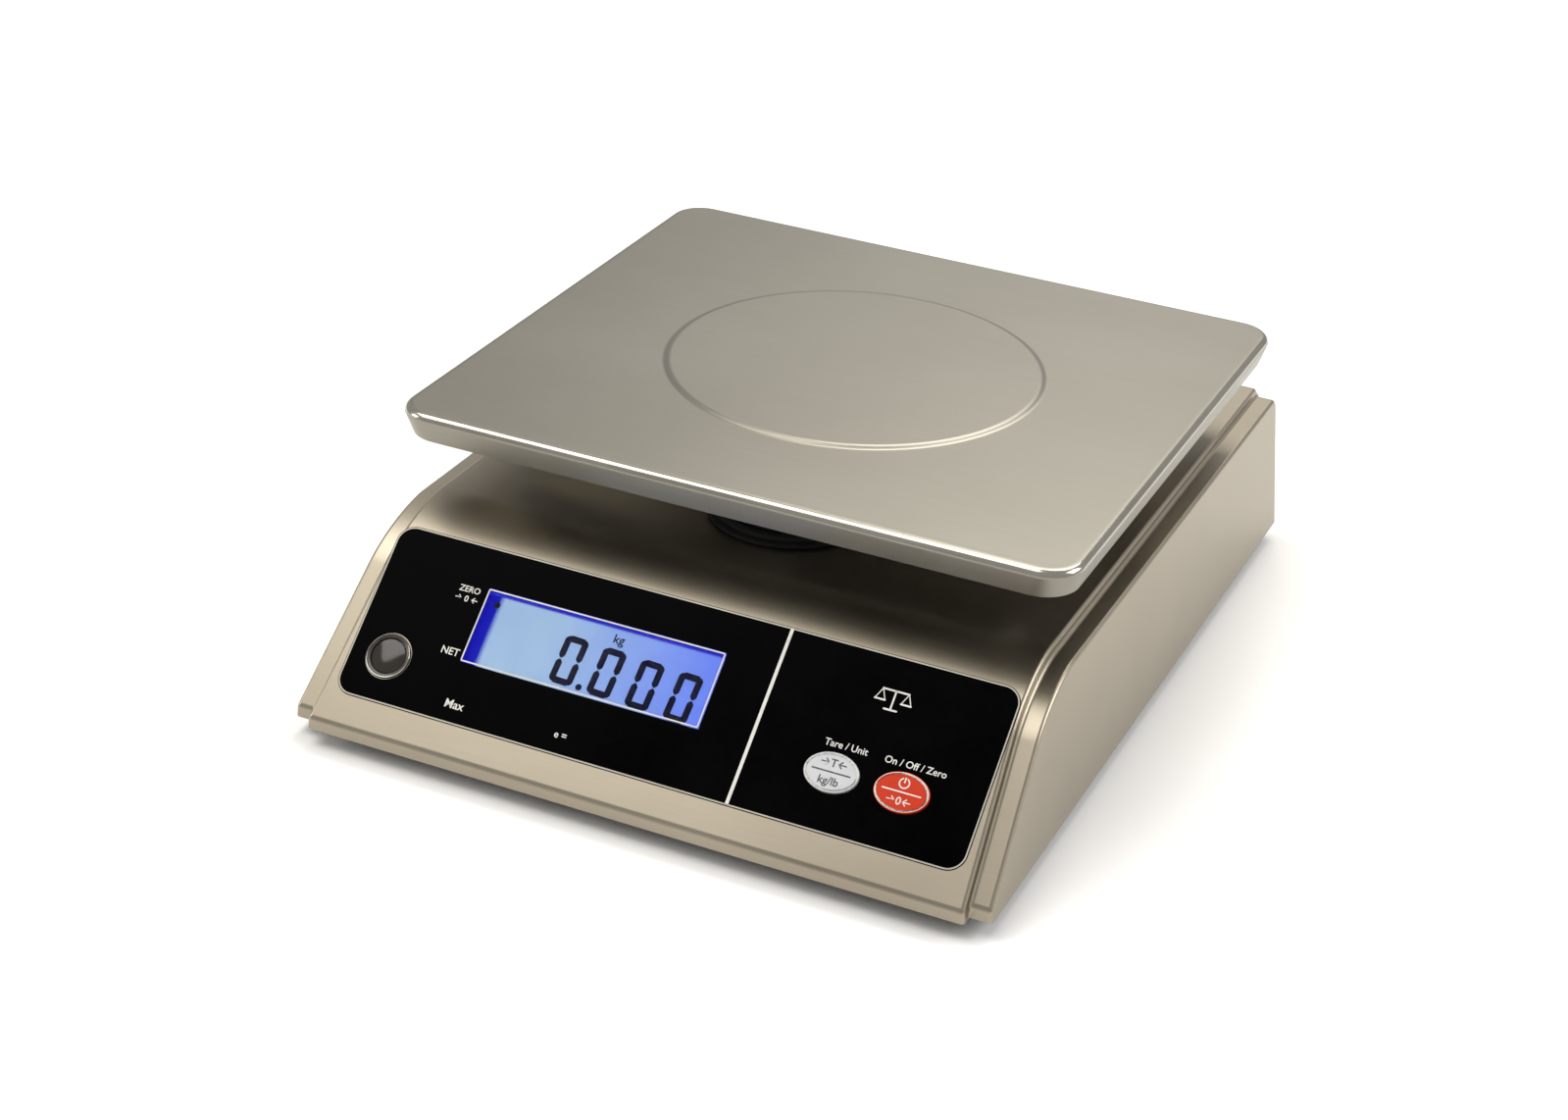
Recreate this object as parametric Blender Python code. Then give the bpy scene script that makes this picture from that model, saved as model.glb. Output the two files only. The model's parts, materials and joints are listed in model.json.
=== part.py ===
"""Bench weighing scale with a stainless pan, a wedge-shaped housing and a sloped control face.

Frame: +Z up, +X to the user's right, the control face towards -Y. The origin is on the
surface the feet stand on, under the middle of the scale. Lengths are in metres.
"""

import math

import bmesh
import bpy
from mathutils import Matrix, Vector

MM = 0.001
GAP = 0.3 * MM  # between pieces that touch

# Housing
BASE_Z = 5.4 * MM  # rim of the housing above the table
FLAT_TOP_Z = 56.5 * MM  # flat top of the side margins
FRONT_Y = -143.5 * MM
BACK_Y = 148.0 * MM
HALF_WIDTH = 118.3 * MM  # at the rim
WALL_DRAFT = math.radians(5.4)
FACE_ANGLE = math.radians(42.0)  # control face above the horizontal
BEND_RADIUS = 48.0 * MM
BEND_Y = -72.9 * MM  # where the flat top starts to bend down
BACK_RADIUS = 4.0 * MM
WALL = 2.0 * MM
EDGE_RADIUS = 1.5 * MM
MARGIN_WIDTH = 7.0 * MM  # lower strip at each side
RAISE = 3.0 * MM  # centre above the side strips
RAISED_FRONT_Y = -148.0 * MM
BEND_STEPS = 7

# Pan
PAN_WIDTH = 230.0 * MM
PAN_DEPTH = 212.0 * MM
PAN_TOP_Z = 92.0 * MM
PAN_CENTRE_Y = 16.4 * MM
PAN_SKIRT = 9.6 * MM
PAN_SHEET = 1.2 * MM
PAN_CORNER = 12.0 * MM
PAN_EDGE = 2.5 * MM
PAN_FLARE = 0.35 * MM
DISC_RADIUS = 62.5 * MM
DISC_HEIGHT = 0.8 * MM

# Carrier under the pan
PAD_X = 80.0 * MM
PAD_Y = 70.0 * MM  # from the pan's centre
PAD_RADIUS = 7.0 * MM
PAD_THICKNESS = 2.2 * MM
POST_RADIUS = 8.0 * MM
ARM_WIDTH = 18.0 * MM
ARM_THICKNESS = 8.0 * MM
ARM_Z = 68.5 * MM
BEAM_WIDTH = 28.0 * MM
NECK_RADIUS = 17.0 * MM
NECK_CLEARANCE = 5.0 * MM
SEAL_THICKNESS = 3.0 * MM
SEAL_WIDTH = 5.0 * MM
SEAL_CLEARANCE = 1.0 * MM

# Load cell
CELL_LENGTH = 130.0 * MM
CELL_WIDTH = 30.0 * MM
CELL_HEIGHT = 22.0 * MM
CELL_BOLT_INSET = 13.0 * MM
CELL_BOLT_PITCH = 14.0 * MM
SPACER_HEIGHT = 8.0 * MM
SPACER_LENGTH = 32.0 * MM
WEIGH_TRAVEL = 0.4 * MM
WEIGH_CLEARANCE = 0.1 * MM  # left over when the cell is fully bent
BOLT_RADIUS = 2.9 * MM
BOLT_HEAD_RADIUS = 4.8 * MM
BOLT_HEAD = 4.0 * MM
BOLT_CLEARANCE = 0.4 * MM
STOP_RADIUS = 3.0 * MM

# Base
FLOOR = 2.5 * MM
RIM_CLEARANCE = 0.8 * MM  # below the inside of the sloped face
RIM_WALL = 2.0 * MM
BASE_CLEARANCE = 0.4 * MM
FOOT_X = HALF_WIDTH - 20.3 * MM
FOOT_Y = BACK_Y - 27.0 * MM
FOOT_RADIUS = 12.0 * MM
FOOT_HEIGHT = 4.0 * MM
FOOT_HEAD_RADIUS = 6.0 * MM
FOOT_HEAD = 1.8 * MM
FOOT_SOLE = 1.6 * MM
STUD_RADIUS = 3.0 * MM
STUD_LENGTH = 11.5 * MM
BOSS_WALL = 3.5 * MM
BOSS_HEIGHT = 9.5 * MM
SCREW_X = HALF_WIDTH - 15.3 * MM  # under the side strips
SCREW_Y = BACK_Y - 56.0 * MM
SCREW_RADIUS = 1.6 * MM
SCREW_HEAD_RADIUS = 3.5 * MM
SCREW_HEAD = 1.9 * MM
SCREW_LENGTH = 14.0 * MM
POST_WALL = 2.9 * MM

# Battery
BATTERY_X = -72.0 * MM
BATTERY_Y = BACK_Y - 93.0 * MM
BATTERY_WIDTH = 34.0 * MM
BATTERY_LENGTH = 62.0 * MM
BATTERY_HEIGHT = 28.0 * MM
BAY_CLEARANCE = 1.0 * MM
BAY_WIRE_SPACE = 6.0 * MM
BAY_WALL = 2.0 * MM
DOOR_THICKNESS = 1.5 * MM
DOOR_OVERLAP = 3.0 * MM
RAIL_LIP = 2.4 * MM
RAIL_THICKNESS = 1.1 * MM

# Control face, with places measured from the face's own middle: across, and up the slope
PANEL_WIDTH = 213.0 * MM
PANEL_HEIGHT = 59.0 * MM
PANEL_UP = 0.0 * MM
PANEL_CORNER = 6.0 * MM
PANEL_THICKNESS = 0.8 * MM
PANEL_PROUD = 0.2 * MM
WINDOW_X = -27.7 * MM
WINDOW_UP = 3.5 * MM
WINDOW_WIDTH = 82.6 * MM
WINDOW_HEIGHT = 25.0 * MM
LCD_FRAME = 3.5 * MM
LCD_THICKNESS = 5.0 * MM
TARE_X = 58.6 * MM
POWER_X = 81.2 * MM
KEY_UP = -10.8 * MM
KEY_HALF_WIDTH = 8.8 * MM
KEY_HALF_HEIGHT = 6.3 * MM
KEY_PROUD = 0.8 * MM
KEY_THICKNESS = 3.4 * MM
KEY_TRAVEL = 0.5 * MM
KEY_CLEARANCE = 0.35 * MM
SWITCH_SIDE = 6.0 * MM
LEVEL_X = -92.8 * MM
LEVEL_UP = -13.9 * MM
LEVEL_RADIUS = 7.5 * MM
LEVEL_RING = 1.4 * MM
LEVEL_DEPTH = 8.0 * MM
BOARD_X = 10.0 * MM
BOARD_WIDTH = 168.0 * MM
BOARD_HEIGHT = 44.0 * MM
BOARD_THICKNESS = 1.6 * MM
FACE_UP = 12.4 * MM  # middle of the control panel above the middle of the flat face

# Main board and power socket
MAIN_BOARD_X = 68.0 * MM
MAIN_BOARD_Y = BACK_Y - 86.0 * MM
MAIN_BOARD_WIDTH = 50.0 * MM
MAIN_BOARD_LENGTH = 74.0 * MM
STANDOFF = 6.0 * MM
STANDOFF_RADIUS = 3.0 * MM
SOCKET_X = 68.0 * MM
SOCKET_Z = 22.0 * MM
SOCKET_RADIUS = 5.0 * MM
SOCKET_BORE = 3.1 * MM
SOCKET_PIN = 1.0 * MM
SOCKET_WIDTH = 14.0 * MM
SOCKET_HEIGHT = 12.0 * MM
SOCKET_LENGTH = 14.0 * MM

COLOURS = {
    # name: (colour, roughness, metallic)
    "stainless": ((0.56, 0.53, 0.47), 0.32, 1.0),
    "nickel": ((0.54, 0.49, 0.41), 0.30, 1.0),
    "aluminium": ((0.62, 0.63, 0.64), 0.40, 1.0),
    "steel": ((0.50, 0.50, 0.50), 0.30, 1.0),
    "black_film": ((0.010, 0.010, 0.012), 0.12, 0.0),
    "clear_film": ((0.30, 0.38, 0.72), 0.08, 0.0),
    "lcd": ((0.12, 0.16, 0.75), 0.20, 0.0),
    "silver_key": ((0.55, 0.55, 0.56), 0.35, 0.2),
    "red_key": ((0.60, 0.04, 0.02), 0.35, 0.0),
    "rubber": ((0.020, 0.020, 0.020), 0.80, 0.0),
    "abs": ((0.045, 0.045, 0.045), 0.55, 0.0),
    "board": ((0.02, 0.16, 0.07), 0.45, 0.0),
    "vial": ((0.09, 0.06, 0.04), 0.10, 0.0),
    "chrome": ((0.75, 0.75, 0.76), 0.12, 1.0),
    "battery": ((0.05, 0.09, 0.25), 0.50, 0.0),
    "zinc": ((0.60, 0.60, 0.58), 0.35, 1.0),
}


# ---------------------------------------------------------------- helpers
def clear_scene():
    for obj in list(bpy.data.objects):
        bpy.data.objects.remove(obj, do_unlink=True)


def material(name, look):
    colour, roughness, metallic = COLOURS[look]
    mat = bpy.data.materials.new(name)
    mat.use_nodes = True
    shader = mat.node_tree.nodes["Principled BSDF"]
    shader.inputs["Base Color"].default_value = (*colour, 1.0)
    shader.inputs["Roughness"].default_value = roughness
    shader.inputs["Metallic"].default_value = metallic
    return mat


def add_object(name, bm, look=None, at=(0, 0, 0), turn=(0, 0, 0), parent=None):
    """Makes the object; one without a look is a helper that no render shows."""
    bmesh.ops.recalc_face_normals(bm, faces=bm.faces)
    mesh = bpy.data.meshes.new(name)
    bm.to_mesh(mesh)
    bm.free()
    obj = bpy.data.objects.new(name, mesh)
    bpy.context.collection.objects.link(obj)
    obj.location = at
    obj.rotation_euler = turn
    if parent:
        obj.parent = parent
    if look:
        mesh.materials.append(material(name, look))
        mesh.shade_smooth()
        mesh.set_sharp_from_angle(angle=math.radians(35))
    else:
        obj.hide_render = True
        obj.display_type = "WIRE"
    return obj


def combine(target, helper, operation="DIFFERENCE"):
    modifier = target.modifiers.new(f"{operation.lower()} {helper.name}", "BOOLEAN")
    modifier.operation = operation
    modifier.solver = "EXACT"
    modifier.object = helper
    helper.hide_render = True
    helper.display_type = "WIRE"
    return target


def loft(loops):
    """A closed body through loops of the same number of points, with a face at each end."""
    bm = bmesh.new()
    rings = [[bm.verts.new(point) for point in loop] for loop in loops]
    count = len(rings[0])
    for low, high in zip(rings, rings[1:]):
        for i in range(count):
            j = (i + 1) % count
            bm.faces.new((low[i], low[j], high[j], high[i]))
    bm.faces.new(list(reversed(rings[0])))
    bm.faces.new(rings[-1])
    return bm


def prism(outline, low, high):
    """An outline in X and Y, from one height to another."""
    return loft([[(x, y, z) for x, y in outline] for z in (low, high)])


def rectangle(width, depth, centre=(0, 0)):
    x, y = centre
    w, d = width / 2, depth / 2
    return [(x - w, y - d), (x + w, y - d), (x + w, y + d), (x - w, y + d)]


def rounded(width, depth, radius, steps=4, centre=(0, 0)):
    """A rectangle with round corners, anticlockwise."""
    points = []
    corners = ((1, 1, 0), (-1, 1, 90), (-1, -1, 180), (1, -1, 270))
    for sx, sy, start in corners:
        for i in range(steps + 1):
            angle = math.radians(start + 90 * i / steps)
            points.append(
                (
                    centre[0] + sx * (width / 2 - radius) + radius * math.cos(angle),
                    centre[1] + sy * (depth / 2 - radius) + radius * math.sin(angle),
                )
            )
    return points


def ellipse(half_width, half_height, steps=24, centre=(0, 0)):
    return [
        (
            centre[0] + half_width * math.cos(2 * math.pi * i / steps),
            centre[1] + half_height * math.sin(2 * math.pi * i / steps),
        )
        for i in range(steps)
    ]


def box(size, centre):
    return prism(
        rectangle(size[0], size[1], centre[:2]),
        centre[2] - size[2] / 2,
        centre[2] + size[2] / 2,
    )


def turned(profile, steps=24):
    """A body turned about Z from (radius, z) pairs that go from the axis and back to it."""
    loops = [
        [
            (r * math.cos(2 * math.pi * i / steps), r * math.sin(2 * math.pi * i / steps), z)
            for i in range(steps)
        ]
        for r, z in profile
    ]
    return loft(loops)


def rod(radius, low, high, steps=20, centre=(0, 0)):
    return prism(ellipse(radius, radius, steps, centre), low, high)


# ---------------------------------------------------------------- housing form
def half_width(z, inset=0.0):
    return HALF_WIDTH - math.tan(WALL_DRAFT) * (z - BASE_Z) - inset


def bend_centre():
    return Vector((BEND_Y, FLAT_TOP_Z - BEND_RADIUS))


def face_point(offset, along):
    """A point (y, z) on the sloped face that is the given way down from the bend."""
    reach = BEND_RADIUS + offset
    normal = Vector((-math.sin(FACE_ANGLE), math.cos(FACE_ANGLE)))
    down = Vector((-math.cos(FACE_ANGLE), -math.sin(FACE_ANGLE)))
    return bend_centre() + normal * reach + down * along


def side_profile(offset, front_y, bottom_z, back_y=BACK_Y):
    """The side outline (y, z): front skirt, sloped face, bend, flat top and back wall."""
    start = face_point(offset, 0.0)
    fall = (start.x - front_y) / math.cos(FACE_ANGLE)
    lip = face_point(offset, fall)
    points = [(front_y, bottom_z), (front_y, lip.y), (start.x, start.y)]
    centre, reach = bend_centre(), BEND_RADIUS + offset
    for i in range(1, BEND_STEPS + 1):
        angle = FACE_ANGLE * (1 - i / BEND_STEPS)
        points.append(
            (centre.x - reach * math.sin(angle), centre.y + reach * math.cos(angle))
        )
    top_z = FLAT_TOP_Z + offset
    slope = math.tan(WALL_DRAFT)

    def back_at(z):
        return back_y - slope * (z - BASE_Z) + min(offset, 0.0)

    radius = max(BACK_RADIUS + min(offset, 0.0), 1.0 * MM)
    corner_y = back_at(top_z)
    for angle in (0, 45, 90):
        a = math.radians(angle)
        points.append(
            (
                corner_y - radius * (1 - math.sin(a)),
                top_z - radius * (1 - math.cos(a)),
            )
        )
    points.append((back_at(bottom_z), bottom_z))
    return points


def housing_body(stations, front_y, bottom_z, back_y=BACK_Y):
    """A body across the scale; each station is (inset from the side wall, offset of the outline)."""
    loops = []
    for side, order in ((-1, stations), (1, list(reversed(stations)))):
        for inset, offset, front_inset in order:
            outline = side_profile(offset, front_y + front_inset, bottom_z, back_y)
            loops.append([(side * half_width(z, inset), y, z) for y, z in outline])
    return loft(loops)


def edge_stations(inset, offset):
    r = EDGE_RADIUS
    return [
        (inset, offset - r, r),
        (inset + 0.3 * r, offset - 0.3 * r, 0.3 * r),
        (inset + r, offset, 0.0),
    ]


def face_frame():
    """An empty in the middle of the control panel, with Y up the slope and Z out of the face."""
    lip = face_point(RAISE, (face_point(RAISE, 0).x - RAISED_FRONT_Y) / math.cos(FACE_ANGLE))
    start = face_point(RAISE, 0.0)
    middle = (lip + start) / 2 + Vector((math.cos(FACE_ANGLE), math.sin(FACE_ANGLE))) * FACE_UP
    empty = bpy.data.objects.new("control_face", None)
    bpy.context.collection.objects.link(empty)
    empty.location = (0, middle.x, middle.y)
    empty.rotation_euler = (FACE_ANGLE, 0, 0)
    return empty


def face_strip(low, high):
    """A sheet that follows the raised face and its bend, between two heights above them."""

    def line(height):
        offset = RAISE + height
        centre, reach = bend_centre(), BEND_RADIUS + offset
        points = [face_point(offset, PANEL_HEIGHT + 20 * MM)]
        for i in range(BEND_STEPS + 1):
            angle = FACE_ANGLE * (1 - i / BEND_STEPS)
            y, z = centre.x - reach * math.sin(angle), centre.y + reach * math.cos(angle)
            points.append(Vector((y, z)))
        return points

    outline = line(high) + list(reversed(line(low)))
    reach = PANEL_WIDTH / 2 + 5 * MM
    return loft([[(side * reach, y, z) for y, z in outline] for side in (-1, 1)])


def panel_outline(name, grow, face):
    """The control panel's outline, as a prism that crosses the face."""
    outline = rounded(
        PANEL_WIDTH + 2 * grow, PANEL_HEIGHT + 2 * grow, PANEL_CORNER + grow, 4, (0, PANEL_UP)
    )
    return add_object(name, prism(outline, -12 * MM, 12 * MM), parent=face)


def top_of_margin(y):
    """The height of the side strips' outer face at this place."""
    outline = side_profile(0.0, FRONT_Y, BASE_Z)
    for (y0, z0), (y1, z1) in zip(outline, outline[1:]):
        if y0 < y <= y1:
            return z0 + (z1 - z0) * (y - y0) / (y1 - y0)
    return FLAT_TOP_Z


# ---------------------------------------------------------------- derived places
FLOOR_TOP = BASE_Z + FLOOR
SCREW_SEAT = FLOOR_TOP + 2.1 * MM
CELL_Z = FLOOR_TOP + GAP + SPACER_HEIGHT + GAP
CELL_TOP = CELL_Z + CELL_HEIGHT
CELL_BACK = PAN_CENTRE_Y + CELL_LENGTH / 2
CELL_FRONT = PAN_CENTRE_Y - CELL_LENGTH / 2
WEIGH_GAP = WEIGH_TRAVEL + WEIGH_CLEARANCE
UPPER_Z = CELL_TOP + WEIGH_GAP
NECK_Y = CELL_FRONT + SPACER_LENGTH / 2
NECK_Z = UPPER_Z + SPACER_HEIGHT + GAP
PAN_UNDERSIDE = PAN_TOP_Z - PAN_SHEET
PAD_TOP = PAN_UNDERSIDE - GAP
PAD_Z = PAD_TOP - PAD_THICKNESS
POST_TOP = PAD_Z - GAP
PANEL_BOTTOM = PANEL_PROUD - PANEL_THICKNESS
RECESS = PANEL_BOTTOM - GAP
LCD_TOP = RECESS
LCD_BOTTOM = LCD_TOP - LCD_THICKNESS
BOARD_TOP = LCD_BOTTOM - GAP
BOARD_BOTTOM = BOARD_TOP - BOARD_THICKNESS
KEY_BOTTOM = KEY_PROUD - KEY_THICKNESS
BAY_TOP = BASE_Z + BATTERY_HEIGHT + BAY_CLEARANCE + BAY_WALL
BAY_INNER = (
    BATTERY_WIDTH + 2 * BAY_CLEARANCE,
    BATTERY_LENGTH + 2 * BAY_CLEARANCE + BAY_WIRE_SPACE,
)
CORNERS = (("front_left", -1, -1), ("front_right", 1, -1), ("back_left", -1, 1), ("back_right", 1, 1))


# ---------------------------------------------------------------- pieces
def make_top_housing(face):
    margin = edge_stations(0.0, 0.0)
    shell = add_object("top_housing", housing_body(margin, FRONT_Y, BASE_Z), "nickel")
    raised = add_object(
        "raised_form",
        housing_body(edge_stations(MARGIN_WIDTH, RAISE), RAISED_FRONT_Y, BASE_Z),
    )
    combine(shell, raised, "UNION")
    below = BASE_Z - 4 * MM
    for name, inset, offset, front, back in (
        ("margin_hollow", WALL, -WALL, FRONT_Y + WALL, BACK_Y),
        ("raised_hollow", MARGIN_WIDTH + WALL, RAISE - WALL, RAISED_FRONT_Y + WALL, BACK_Y - WALL),
    ):
        hollow = housing_body([(inset, offset, 0.0)], front, below, back)
        combine(shell, add_object(name, hollow))
    for name, sx, sy in CORNERS:
        y = sy * SCREW_Y
        top = top_of_margin(y) - WALL / 2
        post = rod(SCREW_RADIUS + POST_WALL, SCREW_SEAT + GAP, top, 16, (sx * SCREW_X, y))
        combine(shell, add_object(f"post_{name}", post), "UNION")
        hole = rod(
            SCREW_RADIUS + GAP,
            SCREW_SEAT - GAP,
            BASE_Z + SCREW_HEAD + SCREW_LENGTH + 1 * MM,
            16,
            (sx * SCREW_X, y),
        )
        combine(shell, add_object(f"post_hole_{name}", hole))
    reach = WALL + 12 * MM
    neck = rod(
        NECK_RADIUS + NECK_CLEARANCE, FLAT_TOP_Z - reach, FLAT_TOP_Z + reach, 32, (0, NECK_Y)
    )
    combine(shell, add_object("neck_hole", neck))
    recess = add_object("panel_recess", face_strip(RECESS, 5 * MM))
    combine(recess, panel_outline("recess_outline", GAP, face), "INTERSECT")
    combine(shell, recess)
    through = (-reach, 5 * MM)
    window = prism(
        rectangle(
            WINDOW_WIDTH + 2 * LCD_FRAME + 2 * BASE_CLEARANCE,
            WINDOW_HEIGHT + 2 * LCD_FRAME + 2 * BASE_CLEARANCE,
            (WINDOW_X, WINDOW_UP),
        ),
        *through,
    )
    combine(shell, add_object("window_hole", window, parent=face))
    for name, x in (("tare", TARE_X), ("power", POWER_X)):
        hole = prism(
            ellipse(KEY_HALF_WIDTH + KEY_CLEARANCE, KEY_HALF_HEIGHT + KEY_CLEARANCE, 24, (x, KEY_UP)),
            *through,
        )
        combine(shell, add_object(f"{name}_hole", hole, parent=face))
    vial = prism(
        ellipse(LEVEL_RADIUS - LEVEL_RING + GAP, LEVEL_RADIUS - LEVEL_RING + GAP, 24, (LEVEL_X, LEVEL_UP)),
        *through,
    )
    combine(shell, add_object("vial_hole", vial, parent=face))
    socket = rod(SOCKET_RADIUS + GAP, -20 * MM, 20 * MM, 20)
    combine(
        shell,
        add_object("socket_hole", socket, at=(SOCKET_X, BACK_Y, SOCKET_Z), turn=(math.pi / 2, 0, 0)),
    )
    return shell


def under_face(offset, y):
    """The height of the sloped plane with this offset at a place."""
    start = face_point(offset, 0.0)
    return start.y - (start.x - y) * math.tan(FACE_ANGLE)


def make_base():
    front = FRONT_Y + WALL + BASE_CLEARANCE
    tongue_y = RAISED_FRONT_Y + WALL + BASE_CLEARANCE
    rim_top = (
        min(under_face(-WALL, front), under_face(RAISE - WALL, tongue_y)) - RIM_CLEARANCE
    )
    side = half_width(rim_top, WALL + BASE_CLEARANCE)
    back = BACK_Y - math.tan(WALL_DRAFT) * (rim_top - BASE_Z) - WALL - BASE_CLEARANCE
    tongue = half_width(rim_top, MARGIN_WIDTH + WALL + BASE_CLEARANCE)

    def outline(inset):
        return [
            (side - inset, front + inset),
            (side - inset, back - inset),
            (inset - side, back - inset),
            (inset - side, front + inset),
            (inset - tongue, front + inset),
            (inset - tongue, tongue_y + inset),
            (tongue - inset, tongue_y + inset),
            (tongue - inset, front + inset),
        ]

    base = add_object("base_tray", prism(outline(0.0), BASE_Z, rim_top), "abs")
    combine(base, add_object("tray_hollow", prism(outline(RIM_WALL), FLOOR_TOP, rim_top + 5 * MM)))
    for name, sx, sy in CORNERS:
        foot = (sx * FOOT_X, sy * FOOT_Y)
        boss = rod(STUD_RADIUS + GAP + BOSS_WALL, BASE_Z + 1 * MM, BASE_Z + BOSS_HEIGHT, 20, foot)
        combine(base, add_object(f"boss_{name}", boss), "UNION")
        bore = rod(STUD_RADIUS + GAP, BASE_Z - 2 * MM, BASE_Z + BOSS_HEIGHT + 2 * MM, 20, foot)
        combine(base, add_object(f"bore_{name}", bore))
        screw = (sx * SCREW_X, sy * SCREW_Y)
        seat = rod(SCREW_HEAD_RADIUS + 2 * MM, BASE_Z + 1 * MM, SCREW_SEAT, 20, screw)
        combine(base, add_object(f"seat_{name}", seat), "UNION")
        head = rod(SCREW_HEAD_RADIUS + GAP, BASE_Z - 2 * MM, BASE_Z + SCREW_HEAD + GAP, 20, screw)
        combine(base, add_object(f"head_hole_{name}", head))
        shank = rod(SCREW_RADIUS + GAP, BASE_Z - 2 * MM, SCREW_SEAT + 2 * MM, 16, screw)
        combine(base, add_object(f"shank_hole_{name}", shank))
    bay_width, bay_length = BAY_INNER
    bay = (BATTERY_X, BATTERY_Y)
    walls = prism(
        rectangle(bay_width + 2 * BAY_WALL, bay_length + 2 * BAY_WALL, bay), BASE_Z + 1 * MM, BAY_TOP
    )
    combine(base, add_object("bay_walls", walls), "UNION")
    door_width = bay_width + 2 * DOOR_OVERLAP
    rail_z = door_bottom() - GAP - RAIL_THICKNESS
    for sx in (-1, 1):
        edge = BATTERY_X + sx * (door_width / 2 + BASE_CLEARANCE)
        rail = box(
            (RAIL_LIP, bay_length + 2 * DOOR_OVERLAP, BASE_Z + 0.6 * MM - rail_z),
            (edge + sx * RAIL_LIP / 2, BATTERY_Y, (BASE_Z + 0.6 * MM + rail_z) / 2),
        )
        combine(base, add_object(f"rail_{sx}", rail), "UNION")
        lip = box(
            (2 * RAIL_LIP, bay_length + 2 * DOOR_OVERLAP, RAIL_THICKNESS),
            (edge, BATTERY_Y, rail_z + RAIL_THICKNESS / 2),
        )
        combine(base, add_object(f"rail_lip_{sx}", lip), "UNION")
    bay_hollow = prism(rectangle(bay_width, bay_length, bay), BASE_Z - 0.15 * MM, BAY_TOP - BAY_WALL)
    combine(base, add_object("bay_hollow", bay_hollow))
    for i in (-1, 1):
        for j in (-1, 1):
            place = (
                MAIN_BOARD_X + i * (MAIN_BOARD_WIDTH / 2 - 5 * MM),
                MAIN_BOARD_Y + j * (MAIN_BOARD_LENGTH / 2 - 5 * MM),
            )
            post = rod(STANDOFF_RADIUS, BASE_Z + 1 * MM, FLOOR_TOP + STANDOFF, 12, place)
            combine(base, add_object(f"standoff_{i}_{j}", post), "UNION")
    for i, y in enumerate(bolt_places(CELL_BACK, -1)):
        hole = rod(BOLT_RADIUS + BOLT_CLEARANCE, BASE_Z - 2 * MM, FLOOR_TOP + 2 * MM, 16, (0, y))
        combine(base, add_object(f"cell_bolt_hole_{i}", hole))
    hole = rod(STOP_RADIUS + GAP, BASE_Z - 2 * MM, FLOOR_TOP + 2 * MM, 16, (0, CELL_FRONT + CELL_BOLT_INSET))
    combine(base, add_object("stop_hole", hole))
    return base


def door_bottom():
    return BASE_Z - GAP - DOOR_THICKNESS


def bolt_places(end, toward):
    return (end + toward * CELL_BOLT_INSET, end + toward * (CELL_BOLT_INSET + CELL_BOLT_PITCH))


def make_pan():
    def ring(outset, z):
        return [
            (x, y, z)
            for x, y in rounded(
                PAN_WIDTH + 2 * outset, PAN_DEPTH + 2 * outset, PAN_CORNER + outset, 5
            )
        ]

    top, low, e, t = 0.0, -PAN_SKIRT, PAN_EDGE, PAN_SHEET
    loops = [
        ring(-e, top - t),
        ring(-0.3 * (e - t) - t, top - t - 0.3 * (e - t)),
        ring(-t, top - e),
        ring(PAN_FLARE - t, low),
        ring(PAN_FLARE, low),
        ring(0.0, top - e),
        ring(-0.3 * e, top - 0.3 * e),
        ring(-e, top),
    ]
    pan = add_object("platter", loft(loops), "stainless", at=(0, PAN_CENTRE_Y, PAN_TOP_Z))
    step = 1.2 * MM
    disc = turned(
        [(DISC_RADIUS + step, -PAN_SHEET / 2), (DISC_RADIUS + step, 0.02 * MM), (DISC_RADIUS, DISC_HEIGHT)],
        48,
    )
    combine(pan, add_object("disc_form", disc, at=(0, PAN_CENTRE_Y, PAN_TOP_Z)), "UNION")
    return pan


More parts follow.
